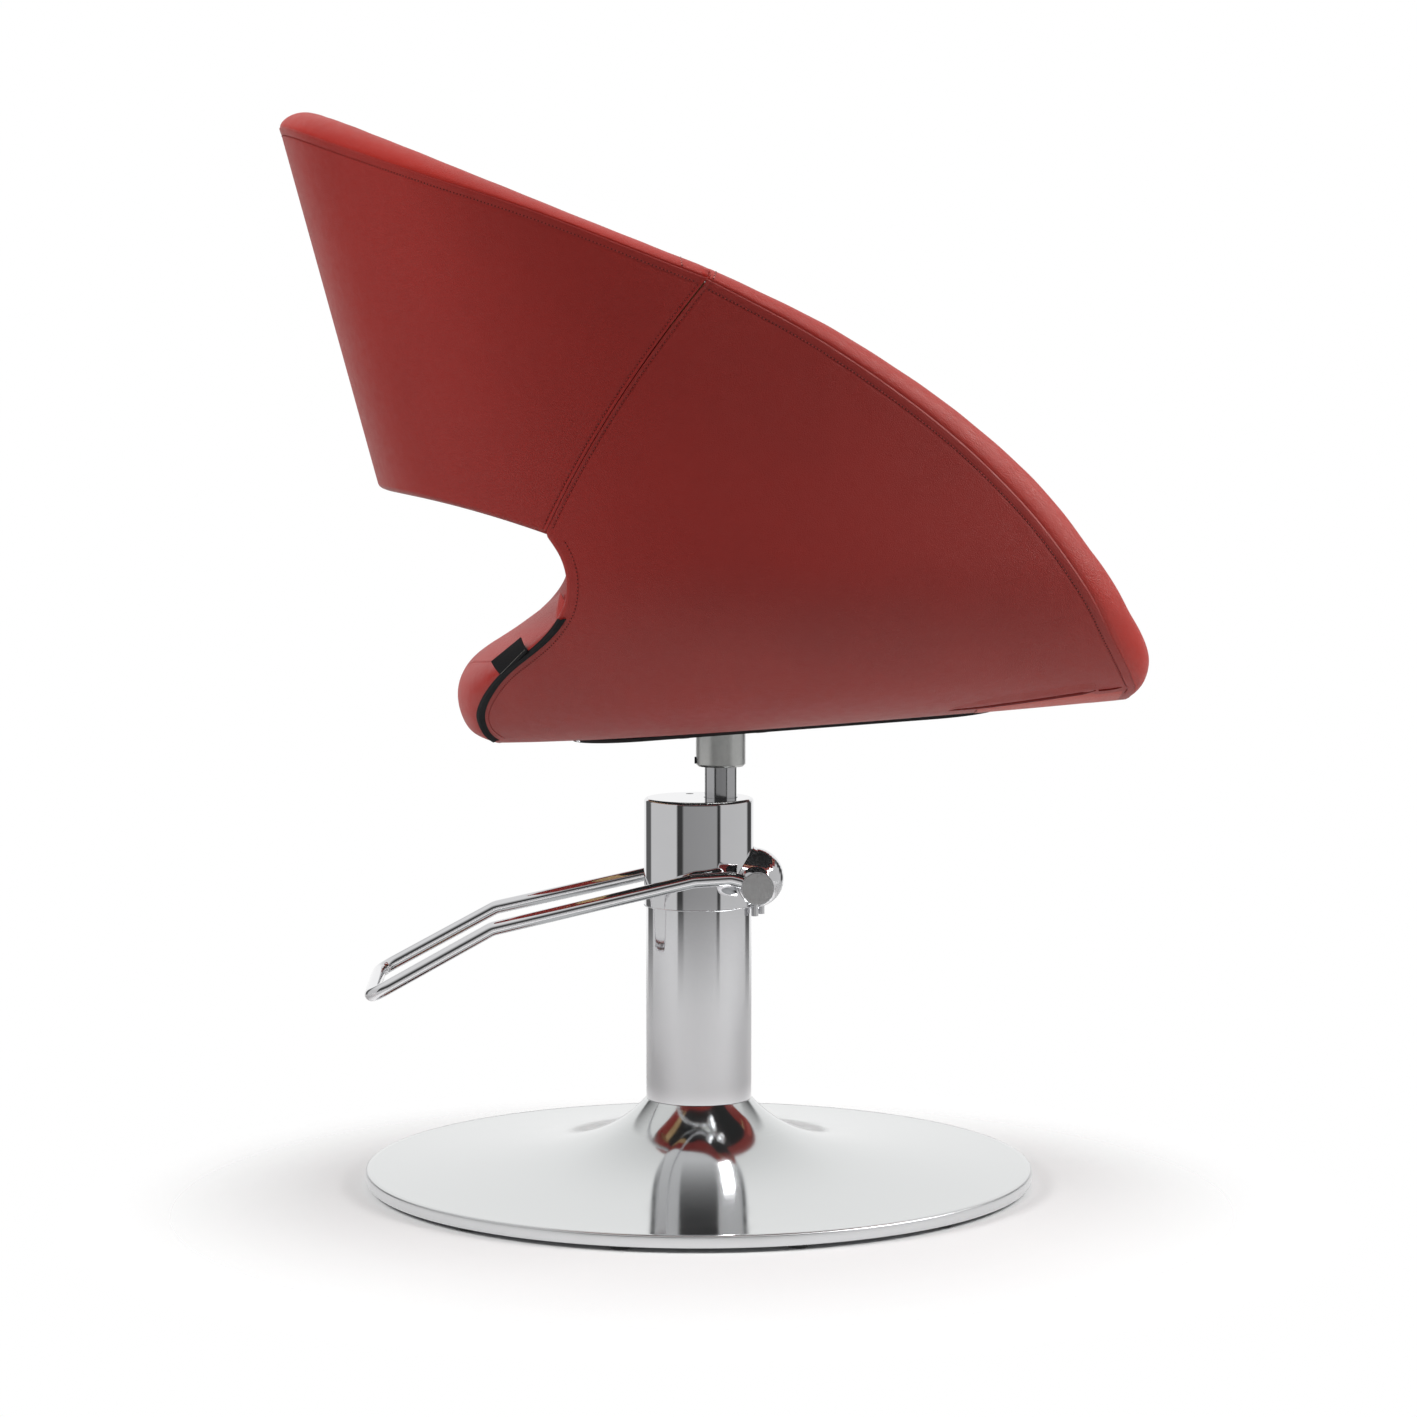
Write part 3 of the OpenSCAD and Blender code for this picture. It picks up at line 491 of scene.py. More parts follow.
def stitches(name, path, normals, mat="thread", hole=1.25):
    """Thread laid along a path on the leather, with flat dark discs between the stitches as painted shade in
    the needle holes.
    """
    points, faces = beads(path, normals, STITCH_PITCH, STITCH_PITCH, THREAD_L, THREAD_D, STITCH_LIFT,
                          THREAD_FLAT)
    piece(name, points, faces, mat)
    points, faces = beads(path, normals, STITCH_PITCH, STITCH_PITCH / 2, hole * 1.1, hole, HOLE_LIFT,
                          HOLE_FLAT)
    piece(name + "_hole_shade", points, faces, "hole")


def both_sides(name, path, normals, **more):
    stitches("right_" + name, path, normals, **more)
    stitches("left_" + name, mirrored(path), mirrored(normals), **more)


# ---------- the shell's surface, as in the CAD source ----------

PITCH = tan(radians(4.2))
SIDE_W, SHELL_T, UNDER_HALF, UNDER_Z = 310.0, 36.0, 130.0, 404
BACK_X, BACK_Z, LEAN, WRAP, TURN_Z = 356.0, 910.0, 0.27, 320.0, 560.0
PLAN, TURN_N, TOE, TOE_X, TOE_L = 2.35, 2.3, 0.16, 60, 300
CREST_UP, CREST_FALL, CREST_BEND = 10.5, 146, 8
# foot of the seam between the back and the side, in x and z, and how far the seam bows to the rear
PANEL_LOW, SEAM_BOW = [-128.3, 577], 36
BACK_LOW, BACK_LOW_FALL = 608.6, 31.6


def under(x):
    """Height of the shell's underside."""
    return UNDER_Z + PITCH * x


def rear_x(z):
    """Rearmost x of the back at a height."""
    return -BACK_X + (BACK_Z - z) * LEAN


def wrap_x(phi):
    """How far the plan of the shell runs forward by an angle round the back: 0 behind, 1 at the sides."""
    return 1 - np.maximum(0, np.cos(phi)) ** (2 / PLAN)


def wrap_y(s):
    """Share of the half width there."""
    return (1 - (1 - np.clip(s, 0, 1)) ** PLAN) ** (1 / PLAN)


def wrap_phi(s):
    return np.arccos(np.clip(1 - s, 0, 1) ** (PLAN / 2))


def toe(x):
    """Share of the width that is left where the sides draw in towards the front."""
    return 1 - TOE * (np.maximum(0, x - TOE_X) / TOE_L) ** 2


def half_at(k, t):
    """Half width where the side turns under; k runs from 0 to 1 at the underside."""
    return UNDER_HALF + (SIDE_W - UNDER_HALF - t) * (1 - np.clip(k, 0, 1) ** TURN_N) ** (1 / TURN_N)


def side_pt(x, z, t):
    """Point of the right side; x and z are taken on the outer face, t is the depth under it."""
    x, z, t = np.broadcast_arrays(np.asarray(x, float), z, t)
    k = np.clip((TURN_Z - z) / (TURN_Z - under(x)), 0, 1)
    s = (x - rear_x(z)) / WRAP
    xi = np.where(s < 1, rear_x(z) + t + s * (WRAP - t), x)
    zi = np.where(z < TURN_Z, TURN_Z - k * (TURN_Z - under(x) - t), z)
    return np.stack([xi, -half_at(k, t) * wrap_y(s) * toe(x), zi], -1)


def back_pt(phi, z, t):
    """Point of the back at an angle round it, a height and a depth."""
    phi, z, t = np.broadcast_arrays(np.asarray(phi, float), z, t)
    s = wrap_x(np.abs(phi))
    return np.stack([rear_x(z) + t + s * (WRAP - t), -np.sign(phi) * (SIDE_W - t) * wrap_y(s), z], -1)


def back_crest_z(phi):
    s = wrap_x(phi)
    return BACK_Z + CREST_UP - CREST_FALL * s + CREST_BEND * s * s


# the rim band's depth below the crest: round the back, and forward along the side
BACK_BANDS = [12.4, 12.9, 13.9, 12, 7.8, 9.8]
SIDE_BANDS = [8.6, 13.3, 17.2, 20.6, 20.6, 18.9, 16.2, 12.2, 8.4]


def width_at(widths, u):
    return spline(np.reshape(widths, (-1, 1)), u)


def back_seam_z(phi):
    return back_crest_z(phi) - width_at(BACK_BANDS, np.asarray(phi, float) / QUARTER)[..., 0]


SIDE_CREST_Z = float(back_crest_z(QUARTER))
SIDE_CREST_X = float(rear_x(SIDE_CREST_Z) + WRAP)
# the crest along the side, in x and z, from the back to the underside at the front
SIDE_CREST = [[SIDE_CREST_X, SIDE_CREST_Z], [94, 736.4], [189.4, 674.7], [263, 611], [313, 547.5],
              [341, 497], [358, 464], [362.5, 445], [357, under(357) + 1]]


def side_normal(u):
    u = np.asarray(u)
    d = spline(SIDE_CREST, np.minimum(1, u + 0.01)) - spline(SIDE_CREST, np.maximum(0, u - 0.01))
    return unit(np.stack([-d[..., 1], d[..., 0]], -1))


def side_seam(u, extra=0.0):
    """Seam under the rim band, in x and z, moved further down by extra."""
    return spline(SIDE_CREST, u) - side_normal(u) * (width_at(SIDE_BANDS, u) + extra)


def seam_x(b):
    """The seam between the back and the side panel, from its foot up."""
    return mix(PANEL_LOW[0], SIDE_CREST_X - 1, b) - SEAM_BOW * b * (1 - b)


def seam_z(b):
    return mix(PANEL_LOW[1], float(back_seam_z(QUARTER)), b)


# free rear edge of the side, in x and z, from the underside up to the panel seam's foot
LOBE = [[-167, under(-167)], [-181, 404], [-183.5, 425], [-166, 455], [-130, 488.4],
        [-114, 512], [-110.5, 536], [-115.5, 557], PANEL_LOW]
LOBE_PART = 0.6


def side_rear(b):
    """Rear edge of the side panel: the free edge, then the panel seam."""
    b = np.asarray(b, float)
    v = np.clip((b - LOBE_PART) / (1 - LOBE_PART), 0, 1) * 0.995
    seam = np.stack([seam_x(v) + 0.1, seam_z(v)], -1)
    return np.where((b < LOBE_PART)[..., None], spline(LOBE, b / LOBE_PART), seam)


def seam_phi(b):
    return wrap_phi((seam_x(b) - 0.1 - rear_x(seam_z(b))) / WRAP)


def back_low_z(a):
    """Lower edge of the back, by the share of its width."""
    return BACK_LOW - BACK_LOW_FALL * np.abs(a) ** 3.1


# where along the crest the side panel's upper seam starts at the front and ends at the back
SEAM_U = (0.985, 0.002)


def side_chart(a, b):
    """x and outer height on the side panel; a runs to the front, b up."""
    a, b = np.broadcast_arrays(a, b)
    left, right = side_rear(b), side_seam(mix(*SEAM_U, b), 0.3)
    x, z = np.moveaxis(left + (right - left) * a[..., None], -1, 0)
    return x, mix(under(x), np.maximum(z, under(x)), np.minimum(1, b * 20))


# ---------- upholstery of the shell ----------

BAND_STITCH, SEAM_STITCH, TUCK = 7.0, 3.6, 3.2
EDGE_STEPS = 12
SIDE_BULGE, BACK_BULGE, MOST_PROUD = 7.0, 6.5, 0.45
# the inner skin covers the CAD liner by this much
INNER_COVER = 0.5
BACK_HALF_L, BACK_H = 520, 300
# distances of the closest rows from a seam
FINE = np.array([0, 0.2, 0.55, 1.0, 1.7, 2.6, 3.4, 4.2, 5.0, 5.8, 6.5, 7.2, 8.0, 9.2, 11, 14])


def ends(count, lengths):
    """Shares from 0 to 1 for rows of given lengths, close together at both ends."""
    lengths = np.reshape(lengths, (-1, 1))
    f = FINE[None] * np.minimum(1, 0.4 * lengths / FINE[-1]) / lengths
    middle = np.linspace(f[:, -1], 1 - f[:, -1], count + 2, axis=1)[:, 1:-1]
    return np.concatenate([f, middle, 1 - f[:, ::-1]], 1)


def curl(d, r):
    """How far a leather edge of radius r turns in at distance d from its seam."""
    d = np.clip(d, 0, r)
    return r - np.sqrt(np.maximum(0, r * r - (r - d) ** 2))


def fold(d, stitch, proud=0.3, edge=0.7):
    """Depth of leather beside a seam: turned in, standing proud, then drawn down by the stitching."""
    rise = np.clip(d / edge, 0, 1)
    fall = 0.5 + 0.5 * np.cos(pi * np.clip((d - 0.35 * stitch) / (0.65 * stitch), 0, 1))
    return curl(d, edge) - proud * rise * fall + 0.4 * np.exp(-((d - stitch) / 0.75) ** 2)


SIDE_SEAM_LINE = side_pt(*side_seam(np.linspace(0, 1, 320), 0.1).T, 0)
BACK_PHI = np.linspace(-QUARTER, QUARTER, 641)
BACK_SEAM_LINE = back_pt(BACK_PHI, back_seam_z(np.abs(BACK_PHI)) - 0.1, 0)
PANEL_B = np.linspace(0, 1, 160)
PANEL_SEAM_LINE = side_pt(seam_x(PANEL_B), seam_z(PANEL_B), 0)


def round_edge():
    """Depth and bulge of each row round a free edge, from the outer face to the inner."""
    for i in range(1, EDGE_STEPS):
        angle = pi * i / EDGE_STEPS
        yield SHELL_T / 2 * (1 - cos(angle)), sin(angle) ** 0.8


def side_cover():
    """Outer face, rounded free edge and inner face of one side in one skin."""
    b = np.concatenate([np.linspace(0, 0.05, 9), np.linspace(0.05, LOBE_PART, 62)[1:],
                        np.linspace(LOBE_PART, 0.97, 60)[1:], np.linspace(0.97, 1, 14)[1:]])[:, None]
    x, z = side_chart(np.array([[0.0, 1.0]]), b)
    x, z = side_chart(ends(58, np.hypot(x[:, 1] - x[:, 0], z[:, 1] - z[:, 0])), b)
    # 1 along the free edge, 0 at the underside and along the panel seam
    free = np.clip((LOBE_PART + 0.015 - b) / 0.03, 0, 1) * np.clip((b - 0.005) / 0.02, 0, 1)
    plain_face = side_pt(x, z, 0)
    seam = fold(gap_to(plain_face, PANEL_SEAM_LINE), SEAM_STITCH, 0.25, 0.45)
    depth = fold(gap_to(plain_face, SIDE_SEAM_LINE), BAND_STITCH) + seam * (1 - free)
    depth = np.maximum(depth, -MOST_PROUD)
    tuck = side_seam(mix(*SEAM_U, b[:, 0]), -TUCK).T
    outer = np.concatenate([side_pt(x, z, depth), side_pt(*tuck, TUCK)[:, None]], 1)
    inner = side_pt(x, z, SHELL_T - np.maximum(0, depth) + INNER_COVER)
    inner = np.concatenate([inner, side_pt(*tuck, SHELL_T - TUCK)[:, None]], 1)
    edge = side_rear(b[:, 0])
    way = unit(np.gradient(edge, axis=0))
    out = np.stack([-way[:, 1], way[:, 0]], -1)
    rows = []
    for t, bulge in round_edge():
        ex, ez = (edge + out * SIDE_BULGE * free * bulge).T
        rows.append(side_pt(ex, np.maximum(ez, under(ex)), t))
    return np.concatenate([outer[:, ::-1], np.stack(rows, 1), inner], 1)


def back_cover():
    """Outer face, rounded lower edge and inner face of the back in one skin, closed at both ends."""
    fine = FINE / BACK_HALF_L
    shares = 1 - np.concatenate([fine, np.linspace(fine[-1], 1, 90)[1:]])
    a = np.concatenate([-shares, shares[::-1][1:]])
    A, B = np.meshgrid(a, ends(44, BACK_H)[0], indexing="ij")
    G = np.abs(A)
    z = mix(back_low_z(G), back_seam_z(G * seam_phi(np.array(1.0))) - 0.4, B)
    phi = np.sign(A) * np.maximum(1e-4, G * np.minimum(radians(89.9), seam_phi(B)))
    plain_face = back_pt(phi, z, 0)
    depth = fold(gap_to(plain_face, BACK_SEAM_LINE), BAND_STITCH)
    for line in (PANEL_SEAM_LINE, mirrored(PANEL_SEAM_LINE)):
        depth = depth + fold(gap_to(plain_face, line), SEAM_STITCH)
    depth = np.maximum(depth, -MOST_PROUD)
    tuck = phi[:, -1:], z[:, -1:] + TUCK
    outer = np.concatenate([back_pt(phi, z, depth), back_pt(*tuck, TUCK)], 1)
    inner = back_pt(phi, z, SHELL_T - np.maximum(0, depth) + INNER_COVER)
    inner = np.concatenate([inner, back_pt(*tuck, SHELL_T - TUCK)], 1)
    drop = mix(1.0, BACK_BULGE, np.clip((1 - np.abs(a)) / 0.02, 0, 1))
    edge = np.stack([back_pt(phi[:, 0], z[:, 0] - drop * bulge, t) for t, bulge in round_edge()], 1)
    skin = np.concatenate([outer[:, ::-1], edge, inner], 1)
    core = back_pt(phi, z, SHELL_T / 2)
    core = np.concatenate([core, core[:, -1:]], 1)
    core = np.concatenate([core[:, ::-1], np.repeat(core[:, :1], EDGE_STEPS - 1, 1), core], 1)
    return np.concatenate([core[:1], skin, core[-1:]])


pair("side_upholstery", side_cover(), "leather", nodes=("{}_panel", "{}_liner"), wrap_cols=True)
surface("back_upholstery", back_cover(), "leather", wrap_cols=True, nodes=["back_panel", "back_liner"])


# ---------- rim band ----------

FRONT_STATIONS, SIDE_STATIONS, BACK_STATIONS, BAND_ROWS = 26, 210, 120, 31
BAND_JOINT = FRONT_STATIONS + SIDE_STATIONS
# how far the band runs forward and down in the middle of the front, and swells inward behind the head
FRONT_BOW, FRONT_DROP, BACK_SWELL = 3, 4.5, 6


def side_stations(u):
    """Outer seam, crest and inner seam of the band along the right side."""
    seam, crest = side_seam(u).T, spline(SIDE_CREST, u).T
    return np.stack([side_pt(*seam, 0), side_pt(*crest, SHELL_T / 2), side_pt(*seam, SHELL_T)], 1)


def rim_stations():
    """The same all round, from the middle of the front."""
    f = np.linspace(1, 0.04, FRONT_STATIONS)
    front = side_stations(np.ones(FRONT_STATIONS))
    front[..., 0] += FRONT_BOW * f[:, None]
    front[..., 1] *= 1 - f[:, None]
    front[:, 0, 2] -= FRONT_DROP * np.minimum(1, 3 * f)
    phi = np.linspace(QUARTER, 1e-3, BACK_STATIONS)
    crest = back_pt(phi, back_crest_z(phi), SHELL_T / 2 + BACK_SWELL * np.cos(phi))
    back = np.stack([back_pt(phi, back_seam_z(phi), 0), crest, back_pt(phi, back_seam_z(phi), SHELL_T)], 1)
    half = np.concatenate([front, side_stations(np.linspace(1, 0.004, SIDE_STATIONS)), back])
    return np.concatenate([half, mirrored(half[::-1][1:-1])])


RIM = rim_stations()


def band_arc(stations, angle):
    """Middle of the band's section, and the reach from there at an angle round it."""
    outer, crest, inner = np.moveaxis(stations, -2, 0)
    middle = (outer + inner) / 2
    return middle, (outer - inner) / 2 * cos(angle) + (crest - middle) * sin(angle)


def rim_cover():
    """The band's skin, a little uneven, drawn in at its seams and at its two joints."""
    length = distances(RIM[:, 1])
    joints = length[[BAND_JOINT, len(RIM) - BAND_JOINT]]
    gap = np.abs(length[:, None] - joints).min(1)
    dip = 0.5 * np.exp(-(gap / 0.8) ** 2)
    puff = 0.18 * np.sin(length / 9.0) * np.sin(length / 23.0)
    rows = []
    for angle in np.linspace(0, pi, BAND_ROWS):
        middle, reach = band_arc(RIM, angle)
        edge = min(angle, pi - angle) / pi * BAND_ROWS
        inset = 0.8 * exp(-(edge / 0.9) ** 2) + dip + puff * sin(angle)
        rows.append(middle + reach - unit(reach) * inset[:, None])
    return np.stack(rows, 1)


surface("rim_band_upholstery", rim_cover(), "band", wrap_rows=True, nodes=["rim_band"])


# ---------- stitching of the shell ----------

def side_line(xz):
    """Points and outward normals along a line on the right side."""
    x, z = xz.T
    p = side_pt(x, z, 0)
    n = unit(np.cross(side_pt(x + 1, z, 0) - p, side_pt(x, z + 1, 0) - p))
    return p, n * np.where(n[:, 1:2] > 0, -1, 1)


def back_line(phi, z):
    p = back_pt(phi, z, 0)
    n = unit(np.cross(back_pt(phi + 0.01, z, 0) - p, back_pt(phi, z + 1, 0) - p))
    return p, n * np.where((n[:, :2] * p[:, :2]).sum(1)[:, None] < 0, -1, 1)


def sunk(p, n):
    """A line a little under the surface, as its stitches are pulled in."""
    return p - n * 0.1, n


def beside(line, shift):
    """A flat line moved sideways."""
    way = unit(np.gradient(line, axis=0))
    return line + np.stack([way[:, 1], -way[:, 0]], 1) * shift


def shell_stitching():
    both_sides("band_stitching", *sunk(*side_line(side_seam(np.linspace(0.012, 0.99, 300), BAND_STITCH))))
    phi = np.linspace(-QUARTER * 0.985, QUARTER * 0.985, 500)
    stitches("back_band_stitching", *sunk(*back_line(phi, back_seam_z(np.abs(phi)) - BAND_STITCH)))
    v = np.linspace(0.012, 0.975, 120)
    panel_seam = np.stack([seam_x(v), seam_z(v)], 1)
    for label, shift in (("front", SEAM_STITCH), ("rear", -SEAM_STITCH)):
        line = side_line(beside(panel_seam, shift))
        both_sides("panel_seam_" + label + "_stitching", *sunk(*line), hole=0.9)


def band_joint_stitching():
    """Stitches across the band, before and behind the joint on each side."""
    angles = np.linspace(0.12, pi - 0.12, 40)
    for label, step in (("rear", 3), ("front", -3)):
        for side, station in (("right", BAND_JOINT + step), ("left", len(RIM) - BAND_JOINT - step)):
            arcs = [band_arc(RIM[station], angle) for angle in angles]
            path = np.array([middle + reach for middle, reach in arcs])
            stitches(side + "_band_joint_" + label, path, np.array([reach for _, reach in arcs]), mat="light")


shell_stitching()
band_joint_stitching()


# ---------- rear roll ----------

ROLL_TOP = 0.35
ROLL_TURN = radians(85)
ROLL_HALF_W, ROLL_H = 240, 150
# the roll's section in the middle, in x and z, from the underside up
ROLL_MID = [[-172, under(-172) - 2], [-198, 401], [-207.5, 429], [-197, 454], [-160, 477], [-122, 500]]
# the seam across the roll: share of its half width, share of its height
ROLL_SEAM = [[0, 0.576], [0.133, 0.627], [0.317, 0.661], [0.5, 0.695], [0.633, 0.763], [0.817, 0.814],
             [0.917, 0.864], [0.983, 0.932], [1, 0.985]]
ROLL_FINE = np.array([0, 0.4, 0.9, 1.5, 2.4, 3.8, 6]) / ROLL_H
# how the top edge goes on out of sight: width kept, then distance forward and down
ROLL_TUCKS = ((0.93, 10, 16.0), (0.86, 12, 40.0))


def roll_point(A, B):
    """Point of the roll: A across it from -1 to 1, B from its lower edge to its top."""
    edge = side_rear(ROLL_TOP * B)
    x = edge[..., 0] - 1.2
    side = side_pt(x, np.where(B > 0, np.maximum(edge[..., 1], under(x)), under(x)), 0)
    middle = spline(ROLL_MID, B)
    s = wrap_x(ROLL_TURN * np.abs(A))
    f = s / wrap_x(ROLL_TURN)
    y = np.sign(A) * side[..., 1] * wrap_y(s) / wrap_y(wrap_x(ROLL_TURN))
    return np.stack([mix(middle[..., 0], side[..., 0], f), y, mix(middle[..., 1], side[..., 2], f)], -1)


def roll_cover():
    """The roll's skin, with the groove of its seam."""
    a = np.linspace(-1, 1, 221)
    seam = np.interp(np.abs(a), *np.array(ROLL_SEAM).T)
    near = ROLL_FINE[:, None]
    low = np.concatenate([np.outer(np.linspace(0, 1, 44)[:-1], seam - near[-1]), seam - near[::-1]])
    room = np.minimum(1, (1 - seam) / (2 * near[-1]))
    start = seam + near[-1] * room
    high = np.concatenate([seam + near[1:] * room, start + np.outer(np.linspace(0, 1, 24)[1:], 1 - start)])
    B = np.concatenate([low, high])
    A = np.broadcast_to(a, B.shape)
    grid = roll_point(A, B)
    gap = gap_to(grid, roll_point(a, seam))
    n = unit(np.cross(np.gradient(grid, axis=0), np.gradient(grid, axis=1)))
    if n[20, len(a) // 2, 0] > 0:
        n = -n
    groove = 1.0 * np.exp(-(gap / 0.75) ** 2) - 0.25 * np.exp(-((gap - 2.2) / 1.4) ** 2)
    return grid - n * (curl((1 - np.abs(A)) * ROLL_HALF_W, 3.0) + groove)[..., None]


def rear_roll():
    skin = roll_cover()
    low = skin[0] * np.array([1, 0.95, 1]) + np.array([34, 0, 1.5])
    tucks = [skin[-1] * np.array([1, wide, 1]) + np.array([ahead, 0, -down])
             for wide, ahead, down in ROLL_TUCKS]
    roll = surface("rear_roll_upholstery", np.concatenate([low[None], skin, tucks]), "seat",
                   slot="red_padding", nodes=["seat_roll"])


rear_roll()


# ---------- seat cushion ----------

PAD_TOP, PAD_CROWN, PAD_FOOT = 112.0, 9.0, 18.0
# gap to the wall of the shell, and how far each level is drawn in to leave room to swell
PAD_GAP, PAD_IN = 4, 4.0
# height above the underside, rear x, front x and share of the width of each level
PAD_LEVELS = np.array([
    [17.8, -136, 326, 0.9], [22, -143, 335, 0.97], [38, -145, 342, 1], [54, -142, 341, 1], [70, -131, 335, 1],
    [86, -117, 327, 1], [98, -105, 315, 0.985], [PAD_TOP - 5, -90, 299, 0.96], [PAD_TOP, -64, 266, 0.88],
    [PAD_TOP + 0.5 * PAD_CROWN, -20, 215, 0.66], [PAD_TOP + PAD_CROWN, 50, 150, 0.3]])
PAD_POINTS, PAD_RINGS = 160, 40
CORNER_N = 0.4
# in metres, as the remesh and the cloth are
PAD_VOXEL, SWELL_LIMIT = 0.006, 0.007


def pad_ring(level):
    """One level of the cushion."""
    d, x0, x1, share = level
    turn = 2 * pi * (np.arange(PAD_POINTS) + 0.5) / PAD_POINTS
    ca, sa = np.cos(turn), np.sin(turn)
    x = (x0 + x1) / 2 - (x1 - x0 - 2 * PAD_IN) / 2 * np.sign(ca) * np.abs(ca) ** CORNER_N
    wall = SHELL_T + PAD_GAP
    k = np.clip((TURN_Z - under(x) - d) / (TURN_Z - under(x) - wall), 0, 1)
    wide = half_at(k, wall) - np.where(k >= 1, 6, 0)
    s = (x - rear_x(under(x) + d) - wall) / (WRAP - wall)
    half = np.maximum(20, wide * wrap_y(s) * toe(x) * share - 2) - PAD_IN
    return np.stack([x, np.abs(sa) ** CORNER_N * np.sign(sa) * half, under(x) + d - PAD_IN * 0.5], 1)


def cushion_mesh():
    """Points and faces of the cushion's levels, closed above and below."""
    at = np.linspace(0, len(PAD_LEVELS) - 1, PAD_RINGS)
    levels = np.stack([np.interp(at, np.arange(len(PAD_LEVELS)), column) for column in PAD_LEVELS.T], 1)
    rings = np.stack([pad_ring(level) for level in levels])
    faces = grid_faces(PAD_RINGS, PAD_POINTS, wrap_cols=True).tolist()
    centre = PAD_RINGS * PAD_POINTS
    for end, start in ((0, 0), (1, centre - PAD_POINTS)):
        faces += [[start + j, start + (j + 1) % PAD_POINTS, centre + end] for j in range(PAD_POINTS)]
    middles = [rings[0].mean(0), rings[-1].mean(0)]
    return np.concatenate([rings.reshape(-1, 3), middles]), faces


def apply_modifiers(obj):
    graph = bpy.context.evaluated_depsgraph_get()
    mesh = bpy.data.meshes.new_from_object(obj.evaluated_get(graph))
    old = obj.data
    obj.modifiers.clear()
    obj.data = mesh
    bpy.data.meshes.remove(old)


def swell(obj):
    """Cloth under pressure, as the foam fills the leather."""
    cloth = obj.modifiers.new("cloth", "CLOTH")
    cloth.settings.use_pressure = True
    cloth.settings.uniform_pressure_force = 4
    cloth.settings.effector_weights.gravity = 0
    cloth.settings.tension_stiffness = 25
    cloth.settings.bending_stiffness = 3
    for at in range(1, 21):
        scene.frame_set(at)
    apply_modifiers(obj)
    scene.frame_set(1)


def places(obj):
    return np.array([v.co for v in obj.data.vertices])


def cushion():
    obj = piece("seat_cushion", *cushion_mesh(), "seat", slot="red_padding", nodes=["seat_pad"])
    obj.parent = None
    bpy.context.view_layer.objects.active = obj
    remesh = obj.modifiers.new("remesh", "REMESH")
    remesh.mode, remesh.voxel_size = "VOXEL", PAD_VOXEL
    relax = obj.modifiers.new("relax", "SMOOTH")
    relax.factor, relax.iterations = 0.6, 14
    apply_modifiers(obj)
    rest = places(obj)
    swell(obj)
    step = places(obj) - rest
    size = np.linalg.norm(step, axis=1)
    moved = rest + step * (np.minimum(size, SWELL_LIMIT) / np.maximum(size, 1e-9))[:, None]
    floor_z = (under(moved[:, 0] / MM) + PAD_FOOT) * MM
    moved[:, 2] = np.maximum(moved[:, 2], floor_z)
    obj.data.vertices.foreach_set("co", moved.reshape(-1))
    sub = obj.modifiers.new("sub", "SUBSURF")
    sub.levels = sub.render_levels = 1
    apply_modifiers(obj)
    obj.data.shade_smooth()
    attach(obj, "seat")


cushion()


# ---------- zip tape and tag ----------

ZIP_STITCH = 6.4
# the tape's section: distance in front of the free edge, depth
ZIP_PROFILE = ((-4.2, 0.9), (-3.6, -0.5), (-1.6, -0.75), (-1.2, -1.7), (0, -2.3), (1.2, -1.7), (1.6, -0.75),
               (3.2, -0.5), (3.8, 0.9))


def zip_tape():
    x, z = side_rear(ROLL_TOP * np.linspace(0.1, 1.02, 90)).T
    rows = [side_pt(x + w, np.maximum(z, under(x)), t) for w, t in ZIP_PROFILE]
    pair("zip", np.stack(rows, 1), "tape", ["zip_tape"], slot="black_tape")


TAG_CORNERS = np.array([[-174.7, -181, 466.8], [-150.2, -208, 488.1], [-144.2, -233.4, 478.9],
                        [-165.1, -199.0, 455.3]])
TAG_N = 15
TAG_HALF_T = 0.6


def tag():
    """A folded black label sewn in under the side, left without lettering."""
    top_rear, top_front, low_front, low_rear = TAG_CORNERS
    f = np.linspace(0, 1, TAG_N)
    grid = np.array([[mix(mix(top_rear, top_front, j), mix(low_rear, low_front, j), i) for j in f]
                     for i in f])
    face = np.cross(low_rear - top_rear, top_front - top_rear)
    face *= -np.sign(face[1]) / np.linalg.norm(face)
    bow = 1.6 * np.sin(pi * f[:, None]) * (0.7 + 0.3 * np.sin(pi * f[None]))
    front = grid + face * (bow + TAG_HALF_T)[..., None]
    back = grid + face * (bow - TAG_HALF_T)[..., None]
    sheet = grid_faces(TAG_N, TAG_N)
    count = TAG_N * TAG_N
    faces = np.concatenate([sheet, sheet + count]).tolist()
    number = np.arange(count).reshape(TAG_N, TAG_N)
    rim = [*number[:, 0], *number[-1, 1:], *number[-2::-1, -1], *number[0, -2:0:-1]]
    faces += [[a, b, b + count, a + count] for a, b in zip(rim, rim[1:] + rim[:1])]
    piece("sewn_tag", np.concatenate([front, back]), faces, "label", slot="black_tape", nodes=["side_tag"])
    row = front[-3]
    points, faces = beads(row, np.broadcast_to(face, row.shape), 2.2, 1.6, 1.5, 0.4, 0.12, 0.7)
    piece("tag_stitching", points, faces, "pale", slot="black_tape")


def free_edge_stitching():
    """Seam beside the zip, on the side panel."""
    line = beside(side_rear(np.linspace(0.012, LOBE_PART * 0.93, 150)), ZIP_STITCH)
    above = line[:, 1] > under(line[:, 0]) + 1
    both_sides("free_edge_stitching", *side_line(line[above]))


zip_tape()
tag()
free_edge_stitching()


# ---------- the leather under the front ----------

# crease of the fold, in x and z, and the line that goes on from it to the band
FOLD = np.array([[196, 428.2], [206.4, 429.6], [238.7, 434.3], [271.2, 438.7], [295.7, 442.3],
                 [315.3, 445.1], [318.5, 445.2]])
FOLD_LINE = np.array([[319.5, 443.6], [329.3, 444.4], [340.5, 446.2]])
